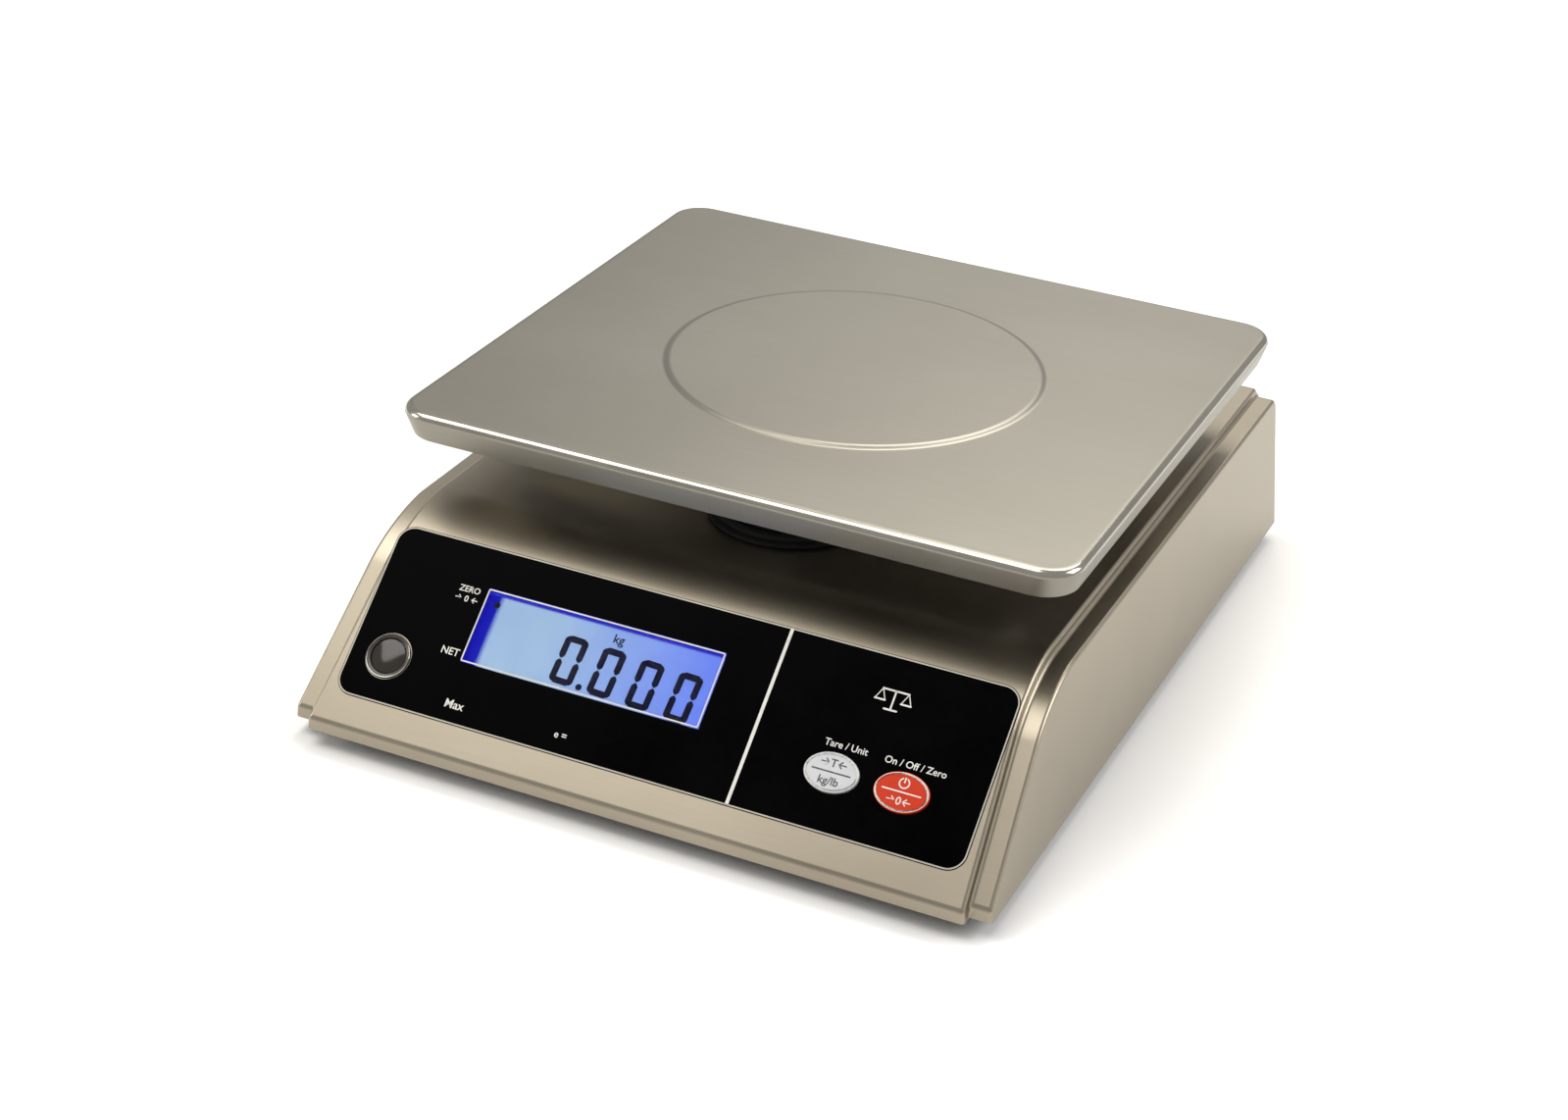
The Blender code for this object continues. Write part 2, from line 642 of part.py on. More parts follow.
def make_carrier():
    carrier_at = (0, PAN_CENTRE_Y, 0)
    beam = box((BEAM_WIDTH, 2 * PAD_Y, ARM_THICKNESS), (0, 0, ARM_Z + ARM_THICKNESS / 2))
    carrier = add_object("platter_carrier", beam, "aluminium", at=carrier_at)
    for sy in (-1, 1):
        arm = prism(
            rounded(2 * (PAD_X + POST_RADIUS), ARM_WIDTH, 6 * MM, 2, (0, sy * PAD_Y)),
            ARM_Z + 0.2 * MM,
            ARM_Z + ARM_THICKNESS - 0.2 * MM,
        )
        combine(carrier, add_object(f"arm_{sy}", arm, at=carrier_at), "UNION")
        for sx in (-1, 1):
            post = rod(POST_RADIUS, ARM_Z + 1 * MM, POST_TOP, 20, (sx * PAD_X, sy * PAD_Y))
            combine(carrier, add_object(f"carrier_post_{sx}_{sy}", post, at=carrier_at), "UNION")
    neck = rod(NECK_RADIUS, NECK_Z, ARM_Z + 2 * MM, 28, (0, NECK_Y))
    combine(carrier, add_object("neck_form", neck), "UNION")
    for i, y in enumerate(bolt_places(CELL_FRONT, 1)):
        hole = rod(BOLT_RADIUS + BOLT_CLEARANCE, NECK_Z - 2 * MM, ARM_Z + ARM_THICKNESS + 2 * MM, 16, (0, y))
        combine(carrier, add_object(f"neck_bolt_hole_{i}", hole))
        counterbore = rod(
            BOLT_HEAD_RADIUS + BOLT_CLEARANCE,
            ARM_Z + ARM_THICKNESS - BOLT_HEAD - GAP,
            ARM_Z + ARM_THICKNESS + 2 * MM,
            20,
            (0, y),
        )
        combine(carrier, add_object(f"neck_counterbore_{i}", counterbore))
    for name, sx, sy in CORNERS:
        pad = turned([(PAD_RADIUS - 0.5 * MM, 0), (PAD_RADIUS, 0.5 * MM), (PAD_RADIUS - 0.8 * MM, PAD_THICKNESS)], 20)
        add_object(
            f"platter_pad_{name}", pad, "rubber", at=(sx * PAD_X, PAN_CENTRE_Y + sy * PAD_Y, PAD_Z)
        )
    inner = NECK_RADIUS + SEAL_CLEARANCE
    outer = NECK_RADIUS + NECK_CLEARANCE + SEAL_WIDTH
    seal = turned([(outer, 0), (outer, 0.4 * SEAL_THICKNESS), (outer - 3 * MM, SEAL_THICKNESS)], 32)
    seal_obj = add_object(
        "neck_seal", seal, "rubber", at=(0, NECK_Y, FLAT_TOP_Z + RAISE + GAP)
    )
    hole = rod(inner, FLAT_TOP_Z, FLAT_TOP_Z + 20 * MM, 32, (0, NECK_Y))
    combine(seal_obj, add_object("seal_hole", hole))


def make_load_cell():
    cell = box((CELL_WIDTH, CELL_LENGTH, CELL_HEIGHT), (0, 0, CELL_HEIGHT / 2))
    cell = add_object("load_cell", cell, "aluminium", at=(0, PAN_CENTRE_Y, CELL_Z))
    middle = (0, PAN_CENTRE_Y, CELL_Z + CELL_HEIGHT / 2)
    slot = prism(rounded(30 * MM, CELL_HEIGHT * 0.62, 5 * MM, 3), -CELL_WIDTH, CELL_WIDTH)
    combine(
        cell,
        add_object("cell_slot", slot, at=middle, turn=(math.pi / 2, 0, math.pi / 2)),
    )
    groups = (
        ("lower", bolt_places(CELL_BACK, -1), CELL_Z - 1 * MM, CELL_Z + 14 * MM),
        ("upper", bolt_places(CELL_FRONT, 1), CELL_TOP - 14 * MM, CELL_TOP + 1 * MM),
    )
    for group, places, low, high in groups:
        for i, y in enumerate(places):
            hole = rod(BOLT_RADIUS + BOLT_CLEARANCE, low, high, 16, (0, y))
            combine(cell, add_object(f"cell_{group}_hole_{i}", hole))
    spacers = (
        ("load_cell_lower_spacer", CELL_BACK - SPACER_LENGTH / 2, FLOOR_TOP + GAP, bolt_places(CELL_BACK, -1)),
        ("load_cell_upper_spacer", NECK_Y, UPPER_Z, bolt_places(CELL_FRONT, 1)),
    )
    for name, y, z, places in spacers:
        plate = box((CELL_WIDTH, SPACER_LENGTH, SPACER_HEIGHT), (0, 0, SPACER_HEIGHT / 2))
        spacer = add_object(name, plate, "steel", at=(0, y, z))
        for i, place in enumerate(places):
            hole = rod(BOLT_RADIUS + BOLT_CLEARANCE, z - 1 * MM, z + SPACER_HEIGHT + 1 * MM, 16, (0, place))
            combine(spacer, add_object(f"{name}_hole_{i}", hole))
    for i, y in enumerate(bolt_places(CELL_BACK, -1)):
        length = CELL_Z + 11 * MM - BASE_Z + GAP
        bolt = turned(
            [
                (BOLT_HEAD_RADIUS, -2.0 * MM),
                (BOLT_HEAD_RADIUS, 0.0),
                (BOLT_RADIUS, 0.0),
                (BOLT_RADIUS, length),
            ],
            16,
        )
        add_object(f"lower_bolt_{i + 1}", bolt, "zinc", at=(0, y, BASE_Z - GAP))
    for i, y in enumerate(bolt_places(CELL_FRONT, 1)):
        length = ARM_Z + ARM_THICKNESS - BOLT_HEAD - CELL_TOP + 11 * MM
        bolt = turned(
            [
                (BOLT_RADIUS, -length),
                (BOLT_RADIUS, 0.0),
                (BOLT_HEAD_RADIUS, 0.0),
                (BOLT_HEAD_RADIUS, BOLT_HEAD - 0.4 * MM),
            ],
            16,
        )
        add_object(f"upper_bolt_{i + 1}", bolt, "zinc", at=(0, y, ARM_Z + ARM_THICKNESS - BOLT_HEAD))
    stop = turned(
        [
            (STOP_RADIUS - 0.8 * MM, BASE_Z + 0.2 * MM),
            (STOP_RADIUS, BASE_Z + 1.0 * MM),
            (STOP_RADIUS, CELL_Z - 2.0 * MM),
            (STOP_RADIUS - 1.0 * MM, CELL_Z - WEIGH_GAP),
        ],
        16,
    )
    add_object("overload_stop_screw", stop, "zinc", at=(0, CELL_FRONT + CELL_BOLT_INSET, 0))


def make_control_face(face):
    panel = add_object("control_panel", face_strip(PANEL_BOTTOM, PANEL_PROUD), "black_film")
    combine(panel, panel_outline("panel_form", 0.0, face), "INTERSECT")
    cutters = {
        "panel_window": rectangle(WINDOW_WIDTH + 2 * GAP, WINDOW_HEIGHT + 2 * GAP, (WINDOW_X, WINDOW_UP)),
        "panel_level": ellipse(LEVEL_RADIUS + GAP, LEVEL_RADIUS + GAP, 28, (LEVEL_X, LEVEL_UP)),
        "panel_tare": ellipse(
            KEY_HALF_WIDTH + KEY_CLEARANCE, KEY_HALF_HEIGHT + KEY_CLEARANCE, 24, (TARE_X, KEY_UP)
        ),
        "panel_power": ellipse(
            KEY_HALF_WIDTH + KEY_CLEARANCE, KEY_HALF_HEIGHT + KEY_CLEARANCE, 24, (POWER_X, KEY_UP)
        ),
    }
    for name, outline in cutters.items():
        combine(panel, add_object(name, prism(outline, -5 * MM, 5 * MM), parent=face))
    window = prism(rectangle(WINDOW_WIDTH, WINDOW_HEIGHT), PANEL_BOTTOM, PANEL_PROUD)
    add_object("display_window", window, "clear_film", at=(WINDOW_X, WINDOW_UP, 0), parent=face)
    lcd = prism(
        rectangle(WINDOW_WIDTH + 2 * LCD_FRAME, WINDOW_HEIGHT + 2 * LCD_FRAME), LCD_BOTTOM, LCD_TOP
    )
    add_object("lcd_module", lcd, "lcd", at=(WINDOW_X, WINDOW_UP, 0), parent=face)
    board = prism(rectangle(BOARD_WIDTH, BOARD_HEIGHT), BOARD_BOTTOM, BOARD_TOP)
    add_object("display_board", board, "board", at=(BOARD_X, 0, 0), parent=face)
    for name, look, x in (("tare", "silver_key", TARE_X), ("power", "red_key", POWER_X)):
        edge = 0.5 * MM
        loops = [
            [(px, py, z) for px, py in ellipse(KEY_HALF_WIDTH - cut, KEY_HALF_HEIGHT - cut, 24)]
            for cut, z in ((0, KEY_BOTTOM), (0, KEY_PROUD - edge), (edge, KEY_PROUD))
        ]
        add_object(f"{name}_key", loft(loops), look, at=(x, KEY_UP, 0), parent=face)
        switch_top = KEY_BOTTOM - KEY_TRAVEL - 0.1 * MM
        switch = prism(
            rectangle(SWITCH_SIDE, SWITCH_SIDE), BOARD_TOP + GAP, switch_top
        )
        add_object(f"{name}_switch", switch, "abs", at=(x, KEY_UP, 0), parent=face)
    ring = turned(
        [(LEVEL_RADIUS, PANEL_BOTTOM), (LEVEL_RADIUS, PANEL_PROUD + 0.2 * MM), (LEVEL_RADIUS - 0.4 * MM, PANEL_PROUD + 0.6 * MM)],
        28,
    )
    ring = add_object("level_bezel", ring, "chrome", at=(LEVEL_X, LEVEL_UP, 0), parent=face)
    inner = LEVEL_RADIUS - LEVEL_RING
    combine(
        ring,
        add_object("bezel_hole", rod(inner, -5 * MM, 5 * MM, 28, (LEVEL_X, LEVEL_UP)), parent=face),
    )
    lens = rod(inner - GAP, PANEL_BOTTOM, PANEL_PROUD, 28)
    add_object("level_lens", lens, "vial", at=(LEVEL_X, LEVEL_UP, 0), parent=face)
    vial = rod(inner, RECESS - LEVEL_DEPTH, RECESS, 28)
    vial = add_object("level_vial", vial, "vial", at=(LEVEL_X, LEVEL_UP, 0), parent=face)
    well = rod(inner - 1.2 * MM, RECESS - LEVEL_DEPTH + 1.5 * MM, RECESS + 5 * MM, 28, (LEVEL_X, LEVEL_UP))
    combine(vial, add_object("vial_well", well, parent=face))


def make_feet():
    for name, sx, sy in CORNERS:
        at = (sx * FOOT_X, sy * FOOT_Y, 0)
        pad = turned(
            [
                (FOOT_RADIUS - 1.0 * MM, 0),
                (FOOT_RADIUS, 0.8 * MM),
                (FOOT_RADIUS, FOOT_HEIGHT - 0.8 * MM),
                (FOOT_RADIUS - 0.8 * MM, FOOT_HEIGHT),
                (FOOT_HEAD_RADIUS + GAP, FOOT_HEIGHT),
                (FOOT_HEAD_RADIUS + GAP, FOOT_SOLE),
            ],
            24,
        )
        add_object(f"foot_pad_{name}", pad, "rubber", at=at)
        low = FOOT_SOLE + GAP
        stud = turned(
            [
                (FOOT_HEAD_RADIUS, low),
                (FOOT_HEAD_RADIUS, low + FOOT_HEAD),
                (STUD_RADIUS, low + FOOT_HEAD),
                (STUD_RADIUS, low + FOOT_HEAD + STUD_LENGTH - 1 * MM),
                (STUD_RADIUS - 1 * MM, low + FOOT_HEAD + STUD_LENGTH),
            ],
            16,
        )
        add_object(f"foot_stud_{name}", stud, "zinc", at=at)
        screw = turned(
            [
                (SCREW_HEAD_RADIUS, 0.0),
                (SCREW_HEAD_RADIUS, SCREW_HEAD),
                (SCREW_RADIUS, SCREW_HEAD),
                (SCREW_RADIUS, SCREW_HEAD + SCREW_LENGTH),
            ],
            16,
        )
        add_object(f"housing_screw_{name}", screw, "zinc", at=(sx * SCREW_X, sy * SCREW_Y, BASE_Z))


def make_battery():
    bay_width, bay_length = BAY_INNER
    pack = prism(
        rounded(BATTERY_WIDTH, BATTERY_LENGTH, 3 * MM, 2), BASE_Z, BASE_Z + BATTERY_HEIGHT
    )
    add_object(
        "battery_pack", pack, "battery", at=(BATTERY_X, BATTERY_Y - BAY_WIRE_SPACE / 2, 0)
    )
    door = prism(
        rectangle(bay_width + 2 * DOOR_OVERLAP, bay_length + 2 * DOOR_OVERLAP),
        door_bottom(),
        door_bottom() + DOOR_THICKNESS,
    )
    door = add_object("battery_door", door, "abs", at=(BATTERY_X, BATTERY_Y, 0))
    for i in range(3):
        y = BATTERY_Y - bay_length / 2 + (8 + 3 * i) * MM
        ridge = box((20 * MM, 1.2 * MM, 1.6 * MM), (BATTERY_X, y, door_bottom()))
        combine(door, add_object(f"door_ridge_{i}", ridge), "UNION")


def make_electronics():
    board = box(
        (MAIN_BOARD_WIDTH, MAIN_BOARD_LENGTH, BOARD_THICKNESS), (0, 0, BOARD_THICKNESS / 2)
    )
    add_object(
        "main_board", board, "board", at=(MAIN_BOARD_X, MAIN_BOARD_Y, FLOOR_TOP + STANDOFF + GAP)
    )
    wall_y = BACK_Y - math.tan(WALL_DRAFT) * (SOCKET_Z - BASE_Z)
    inside_y = wall_y - WALL - 1.0 * MM
    body = box(
        (SOCKET_WIDTH, SOCKET_LENGTH, SOCKET_HEIGHT),
        (0, inside_y - SOCKET_LENGTH / 2, 0),
    )
    socket = add_object("dc_socket", body, "abs", at=(SOCKET_X, 0, SOCKET_Z))
    along = (math.pi / 2, 0, 0)
    barrel = rod(SOCKET_RADIUS, -(wall_y + 0.4 * MM), -(inside_y - 2 * MM), 16)
    combine(
        socket, add_object("socket_barrel", barrel, at=(SOCKET_X, 0, SOCKET_Z), turn=along), "UNION"
    )
    bore = rod(SOCKET_BORE, -(wall_y + 5 * MM), -(wall_y - 9.5 * MM), 12)
    combine(socket, add_object("socket_bore", bore, at=(SOCKET_X, 0, SOCKET_Z), turn=along))
    pin = rod(SOCKET_PIN, -(wall_y - 1.0 * MM), -(wall_y - 10.5 * MM), 8)
    combine(
        socket, add_object("socket_pin", pin, at=(SOCKET_X, 0, SOCKET_Z), turn=along), "UNION"
    )


def main():
    clear_scene()
    face = face_frame()
    make_top_housing(face)
    make_base()
    make_pan()
    make_carrier()
    make_load_cell()
    make_control_face(face)
    make_feet()
    make_battery()
    make_electronics()


main()
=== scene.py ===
"""Bench weighing scale: the finished look of every piece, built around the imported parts.

Lengths are in metres, +Z is up and the control face looks towards -Y. The origin is on the
table under the middle of the scale. Each sub-assembly is a class: its fields are its sizes,
one method models its pieces with Blender's mesh operators and gives them their finishes.
"""

from __future__ import annotations

import json
import logging
import math
from contextlib import contextmanager
from dataclasses import dataclass
from enum import Enum
from typing import Any, Callable, Iterator, Sequence

import bmesh
import bpy
from mathutils import Matrix, Vector

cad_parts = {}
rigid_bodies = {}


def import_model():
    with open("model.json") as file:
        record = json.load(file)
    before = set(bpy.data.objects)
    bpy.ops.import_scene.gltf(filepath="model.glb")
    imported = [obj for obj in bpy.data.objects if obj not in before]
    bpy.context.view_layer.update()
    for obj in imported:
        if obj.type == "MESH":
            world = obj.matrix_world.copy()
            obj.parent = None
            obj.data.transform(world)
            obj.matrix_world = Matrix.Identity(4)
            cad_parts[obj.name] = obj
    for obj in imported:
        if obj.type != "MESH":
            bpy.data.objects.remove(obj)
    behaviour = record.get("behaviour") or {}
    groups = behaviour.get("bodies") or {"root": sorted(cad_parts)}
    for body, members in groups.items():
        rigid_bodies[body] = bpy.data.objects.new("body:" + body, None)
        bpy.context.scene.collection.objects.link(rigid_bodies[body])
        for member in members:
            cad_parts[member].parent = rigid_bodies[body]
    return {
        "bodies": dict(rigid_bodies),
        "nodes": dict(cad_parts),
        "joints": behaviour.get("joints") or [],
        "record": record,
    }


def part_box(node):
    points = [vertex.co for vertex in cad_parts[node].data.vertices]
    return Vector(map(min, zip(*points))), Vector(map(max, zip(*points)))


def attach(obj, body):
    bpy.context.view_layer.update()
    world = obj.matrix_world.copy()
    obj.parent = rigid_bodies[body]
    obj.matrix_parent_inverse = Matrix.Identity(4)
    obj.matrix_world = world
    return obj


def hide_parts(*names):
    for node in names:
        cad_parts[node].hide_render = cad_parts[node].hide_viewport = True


LOG = logging.getLogger("weighing_scale")
MM = 0.001


class Element(Enum):
    """What an edit-mode selection is made of."""

    VERTEX = "VERT"
    EDGE = "EDGE"
    FACE = "FACE"


class Joining(Enum):
    """How a tool body changes a piece."""

    CUT = "DIFFERENCE"
    ADD = "UNION"
    KEEP_COMMON = "INTERSECT"


# ---------------------------------------------------------------- finishes
def linear(hex_value: str) -> tuple[float, float, float, float]:
    """Turns an sRGB colour into the linear one that shaders use.

    Args:
        hex_value: The colour as "#RRGGBB".

    Returns:
        Linear red, green, blue, and an alpha of one.
    """
    parts = [int(hex_value[i : i + 2], 16) / 255 for i in (1, 3, 5)]
    red, green, blue = (
        p / 12.92 if p <= 0.04045 else ((p + 0.055) / 1.055) ** 2.4 for p in parts
    )
    return red, green, blue, 1.0


def add_node(
    tree: bpy.types.NodeTree,
    kind: str,
    settings: dict[str | int, Any] | None = None,
    links: dict[str | int, bpy.types.NodeSocket] | None = None,
) -> bpy.types.Node:
    """Adds a node with its settings and links.

    Args:
        tree: The material's node tree.
        kind: Blender's name for the kind of node.
        settings: Values for its inputs or properties; "stops" holds a ramp's (place, colour) pairs.
        links: The output that feeds each of its inputs.

    Returns:
        The new node.
    """
    node = tree.nodes.new(kind)
    for key, value in (settings or {}).items():
        if key == "stops":
            elements = node.color_ramp.elements
            while len(elements) < len(value):
                elements.new(0.5)
            for element, (place, colour) in zip(elements, value):
                element.position, element.color = place, colour
        elif isinstance(key, int) or key in node.inputs:
            node.inputs[key].default_value = value
        else:
            setattr(node, key, value)
    for key, source in (links or {}).items():
        tree.links.new(source, node.inputs[key])
    return node


@dataclass(frozen=True)
class Finish:
    """A surface with a fine grain, a slow change of tone, and a roughness that follows both.

    Grain and mottle are sizes along X, Y and Z in millimetres, so a long thin grain
    is a brushed one.
    """

    name: str
    colour: str
    second_colour: str
    roughness: float
    roughness_spread: float = 0.06
    metallic: float = 0.0
    ior: float = 1.5
    grain: tuple[float, float, float] = (0.5, 0.5, 0.5)
    grain_depth: float = 0.01
    mottle: tuple[float, float, float] = (30.0, 30.0, 30.0)
    coat: float = 0.0
    coat_roughness: float = 0.05
    extra: tuple[tuple[str, Any], ...] = ()

    def build(self) -> bpy.types.Material:
        """Makes the material, or returns it if it is already there."""
        found = bpy.data.materials.get(self.name)
        if found:
            return found
        material = bpy.data.materials.new(self.name)
        material.use_nodes = True
        tree = material.node_tree
        tree.nodes.clear()
        shader = add_node(
            tree,
            "ShaderNodeBsdfPrincipled",
            {
                "Metallic": self.metallic,
                "IOR": self.ior,
                "Coat Weight": self.coat,
                "Coat Roughness": self.coat_roughness,
                **dict(self.extra),
            },
        )
        add_node(tree, "ShaderNodeOutputMaterial", links={"Surface": shader.outputs[0]})
        self.pattern(tree, shader)
        material.diffuse_color = linear(self.colour)
        material.roughness, material.metallic = self.roughness, self.metallic
        return material

    def noise(
        self, tree: bpy.types.NodeTree, size: Sequence[float], detail: float
    ) -> bpy.types.NodeSocket:
        """Adds noise whose cells have a real size.

        Args:
            tree: The material's node tree.
            size: The cells' size along X, Y and Z in millimetres.
            detail: How much finer noise is added to it.

        Returns:
            The noise, from 0 to 1.
        """
        place = add_node(tree, "ShaderNodeTexCoord")
        scaled = add_node(
            tree,
            "ShaderNodeMapping",
            {"Scale": [1 / (side * MM) for side in size]},
            {"Vector": place.outputs["Object"]},
        )
        return add_node(
            tree,
            "ShaderNodeTexNoise",
            {"Scale": 1.0, "Detail": detail},
            {"Vector": scaled.outputs[0]},
        ).outputs[0]

    def pattern(self, tree: bpy.types.NodeTree, shader: bpy.types.Node) -> None:
        """Links the colour, roughness and bump to the shader.

        Args:
            tree: The material's node tree.
            shader: Its Principled shader.
        """
        grain = self.noise(tree, self.grain, 2.0)
        mottle = self.noise(tree, self.mottle, 3.0)
        both = add_node(
            tree,
            "ShaderNodeMath",
            {"operation": "MULTIPLY_ADD", 1: 0.35},
            {0: grain, 2: mottle},
        )
        tone = add_node(
            tree,
            "ShaderNodeValToRGB",
            {"stops": [(0.45, linear(self.colour)), (0.9, linear(self.second_colour))]},
            {0: both.outputs[0]},
        )
        rough = add_node(
            tree,
            "ShaderNodeMapRange",
            {
                "From Min": 0.45,
                "From Max": 0.9,
                "To Min": self.roughness - self.roughness_spread,
                "To Max": self.roughness + self.roughness_spread,
            },
            {0: both.outputs[0]},
        )
        bump = add_node(
            tree,
            "ShaderNodeBump",
            {"Strength": 1.0, "Distance": self.grain_depth * MM},
            {"Height": grain},
        )
        tree.links.new(tone.outputs[0], shader.inputs["Base Color"])
        tree.links.new(rough.outputs[0], shader.inputs["Roughness"])
        tree.links.new(bump.outputs[0], shader.inputs["Normal"])


@dataclass(frozen=True)
class BacklitDisplay(Finish):
    """A display lit from one side: a deep blue margin, then pale blue that turns violet-blue."""

    margin_colour: str = "#0F119F"
    left: float = -69.0 * MM
    width: float = 82.6 * MM
    glow: float = 0.45

    def pattern(self, tree: bpy.types.NodeTree, shader: bpy.types.Node) -> None:
        """Links a colour that changes across the display to its surface and its glow.

        Args:
            tree: The material's node tree.
            shader: Its Principled shader.
        """
        place = add_node(tree, "ShaderNodeTexCoord")
        face = add_node(
            tree,
            "ShaderNodeMapping",
            {
                "vector_type": "TEXTURE",
                "Location": FACE_PLACE,
                "Rotation": (FACE_ANGLE, 0, 0),
            },
            {"Vector": place.outputs["Object"]},
        )
        axes = add_node(tree, "ShaderNodeSeparateXYZ", links={0: face.outputs[0]})
        across = add_node(
            tree,
            "ShaderNodeMapRange",
            {"From Min": self.left, "From Max": self.left + self.width},
            {0: axes.outputs[0]},
        )
        tone = add_node(
            tree,
            "ShaderNodeValToRGB",
            {
                "stops": [
                    (0.0, linear(self.margin_colour)),
                    (0.052, linear(self.margin_colour)),
                    (0.075, linear(self.colour)),
                    (0.3, linear(self.colour)),
                    (1.0, linear(self.second_colour)),
                ]
            },
            {0: across.outputs[0]},
        )
        upper = add_node(
            tree,
            "ShaderNodeMapRange",
            {"From Min": 14.2 * MM, "From Max": 14.9 * MM},
            {0: axes.outputs[1]},
        )
        cloud = self.noise(tree, (14.0, 14.0, 14.0), 2.0)
        mixed = add_node(
            tree,
            "ShaderNodeMix",
            {"data_type": "RGBA", 7: linear("#2A2CB8")},
            {0: upper.outputs[0], 6: tone.outputs[0]},
        )
        rough = add_node(
            tree,
            "ShaderNodeMapRange",
            {"To Min": self.roughness, "To Max": self.roughness + self.roughness_spread},
            {0: cloud},
        )
        tree.links.new(mixed.outputs[2], shader.inputs["Base Color"])
        tree.links.new(mixed.outputs[2], shader.inputs["Emission Color"])
        tree.links.new(rough.outputs[0], shader.inputs["Roughness"])
        shader.inputs["Emission Strength"].default_value = self.glow


# 304 stainless sheet with a fine satin finish: soft, slightly stretched reflections. The real
# brush lines are about 0.1 mm apart, drawn 0.7 mm wide so that they show.
SATIN_STAINLESS = Finish(
    "satin_brushed_stainless_steel", "#8F8B80", "#97938A", 0.36, 0.015, 1.0,
    grain=(26.0, 0.7, 0.7), grain_depth=0.0012, mottle=(180.0, 120.0, 120.0),
)
# The same sheet where its folded edges are polished: it mirrors the room in thin bright lines. Its
# colour is also lighter than the satin sheet's, a painted highlight along the edges.
POLISHED_STEEL_WITH_PAINTED_HIGHLIGHT = Finish(
    "polished_steel_with_painted_highlight", "#A9A499", "#B8B3A8", 0.18, 0.03, 1.0,
    grain=(8.0, 8.0, 8.0), grain_depth=0.0004, mottle=(40.0, 40.0, 40.0),
)
# Pressed steel with a satin nickel plating: warm grey, brushed across, duller than chrome.
SATIN_NICKEL = Finish(
    "satin_nickel_plated_steel", "#9A9181", "#A29989", 0.35, 0.02, 1.0,
    grain=(22.0, 0.7, 0.7), grain_depth=0.0015, mottle=(60.0, 40.0, 40.0),
)
# Polyester overlay printed black on its underside: the clear sheet gives the gloss.
GLOSS_FILM = Finish(
    "gloss_black_polyester_film", "#020203", "#050506", 0.2, 0.04,
    grain=(3.0, 3.0, 3.0), grain_depth=0.0006, mottle=(25.0, 25.0, 25.0),
    extra=(("Specular IOR Level", 0.01),),
)
# Screen-printed white ink, a little rough and uneven.
WHITE_INK = Finish(
    "screen_printed_white_ink", "#E4E2DC", "#D2D0C8", 0.5, 0.08,
    grain=(0.4, 0.4, 0.4), grain_depth=0.004, mottle=(3.0, 3.0, 3.0),
)
SILVER_INK = Finish(
    "screen_printed_silver_ink", "#A39F93", "#B0ACA0", 0.4, 0.08, 0.3,
    grain=(0.4, 0.4, 0.4), grain_depth=0.004, mottle=(3.0, 3.0, 3.0),
)
DARK_INK = Finish(
    "screen_printed_dark_ink", "#3A3A3C", "#4A4A4C", 0.5, 0.08,
    grain=(0.4, 0.4, 0.4), grain_depth=0.004, mottle=(3.0, 3.0, 3.0),
)
# Liquid crystal segments that block the backlight: near-black with a blue cast.
LCD_SEGMENT = Finish(
    "liquid_crystal_segment", "#05061F", "#0A0C34", 0.4, 0.05,
    grain=(0.6, 0.6, 0.6), grain_depth=0.001, mottle=(6.0, 6.0, 6.0),
    extra=(("Specular IOR Level", 0.1),),
)
LCD_BACKLIGHT = BacklitDisplay(
    "backlit_liquid_crystal_display", "#8FA9C6", "#5F76D8", 0.4, 0.08,
    extra=(("Specular IOR Level", 0.02),),
)
# Acrylic pane with an anti-reflection coating: its index is near that of air, so it hardly mirrors.
CLEAR_ACRYLIC = Finish(
    "coated_acrylic_pane", "#F4F6FA", "#FFFFFF", 0.03, 0.01, ior=1.05,
    grain=(6.0, 6.0, 6.0), grain_depth=0.0002,
    extra=(("Transmission Weight", 1.0),),
)
# Acrylic tinted dark amber, over the level's liquid.
AMBER_ACRYLIC = Finish(
    "dark_amber_acrylic_lens", "#3A322B", "#463D35", 0.08, 0.02, ior=1.49,
    grain=(6.0, 6.0, 6.0), grain_depth=0.0002,
    extra=(("Transmission Weight", 0.6), ("Specular IOR Level", 0.3)),
)
VIAL_PLASTIC = Finish(
    "dark_styrene_level_vial", "#2A241D", "#3A332A", 0.3, 0.08,
    grain=(1.0, 1.0, 1.0), grain_depth=0.002, mottle=(5.0, 5.0, 5.0),
)
# Chrome-plated ABS ring.
CHROME = Finish(
    "chrome_plated_abs", "#A5A39D", "#B1AFA9", 0.16, 0.03, 1.0,
    grain=(4.0, 4.0, 4.0), grain_depth=0.0004,
)
# Pad-printed silver lacquer on a moulded key.
SILVER_KEY = Finish(
    "silver_lacquered_key", "#B9B9BD", "#C6C6CA", 0.36, 0.08, 0.25,
    grain=(0.35, 0.35, 0.35), grain_depth=0.003, mottle=(5.0, 5.0, 5.0), coat=0.3,
)
RED_KEY = Finish(
    "red_orange_moulded_key", "#BE2C0A", "#C8360F", 0.42, 0.08,
    grain=(0.35, 0.35, 0.35), grain_depth=0.003, mottle=(6.0, 6.0, 6.0),
    extra=(("Specular IOR Level", 0.2),),
)
# ABS moulded against a spark-eroded tool: matt, with a grain of about 0.3 mm.
BLACK_ABS = Finish(
    "spark_textured_black_abs", "#222223", "#2C2C2D", 0.55, 0.1,
    grain=(0.3, 0.3, 0.3), grain_depth=0.03, mottle=(20.0, 20.0, 20.0),
)
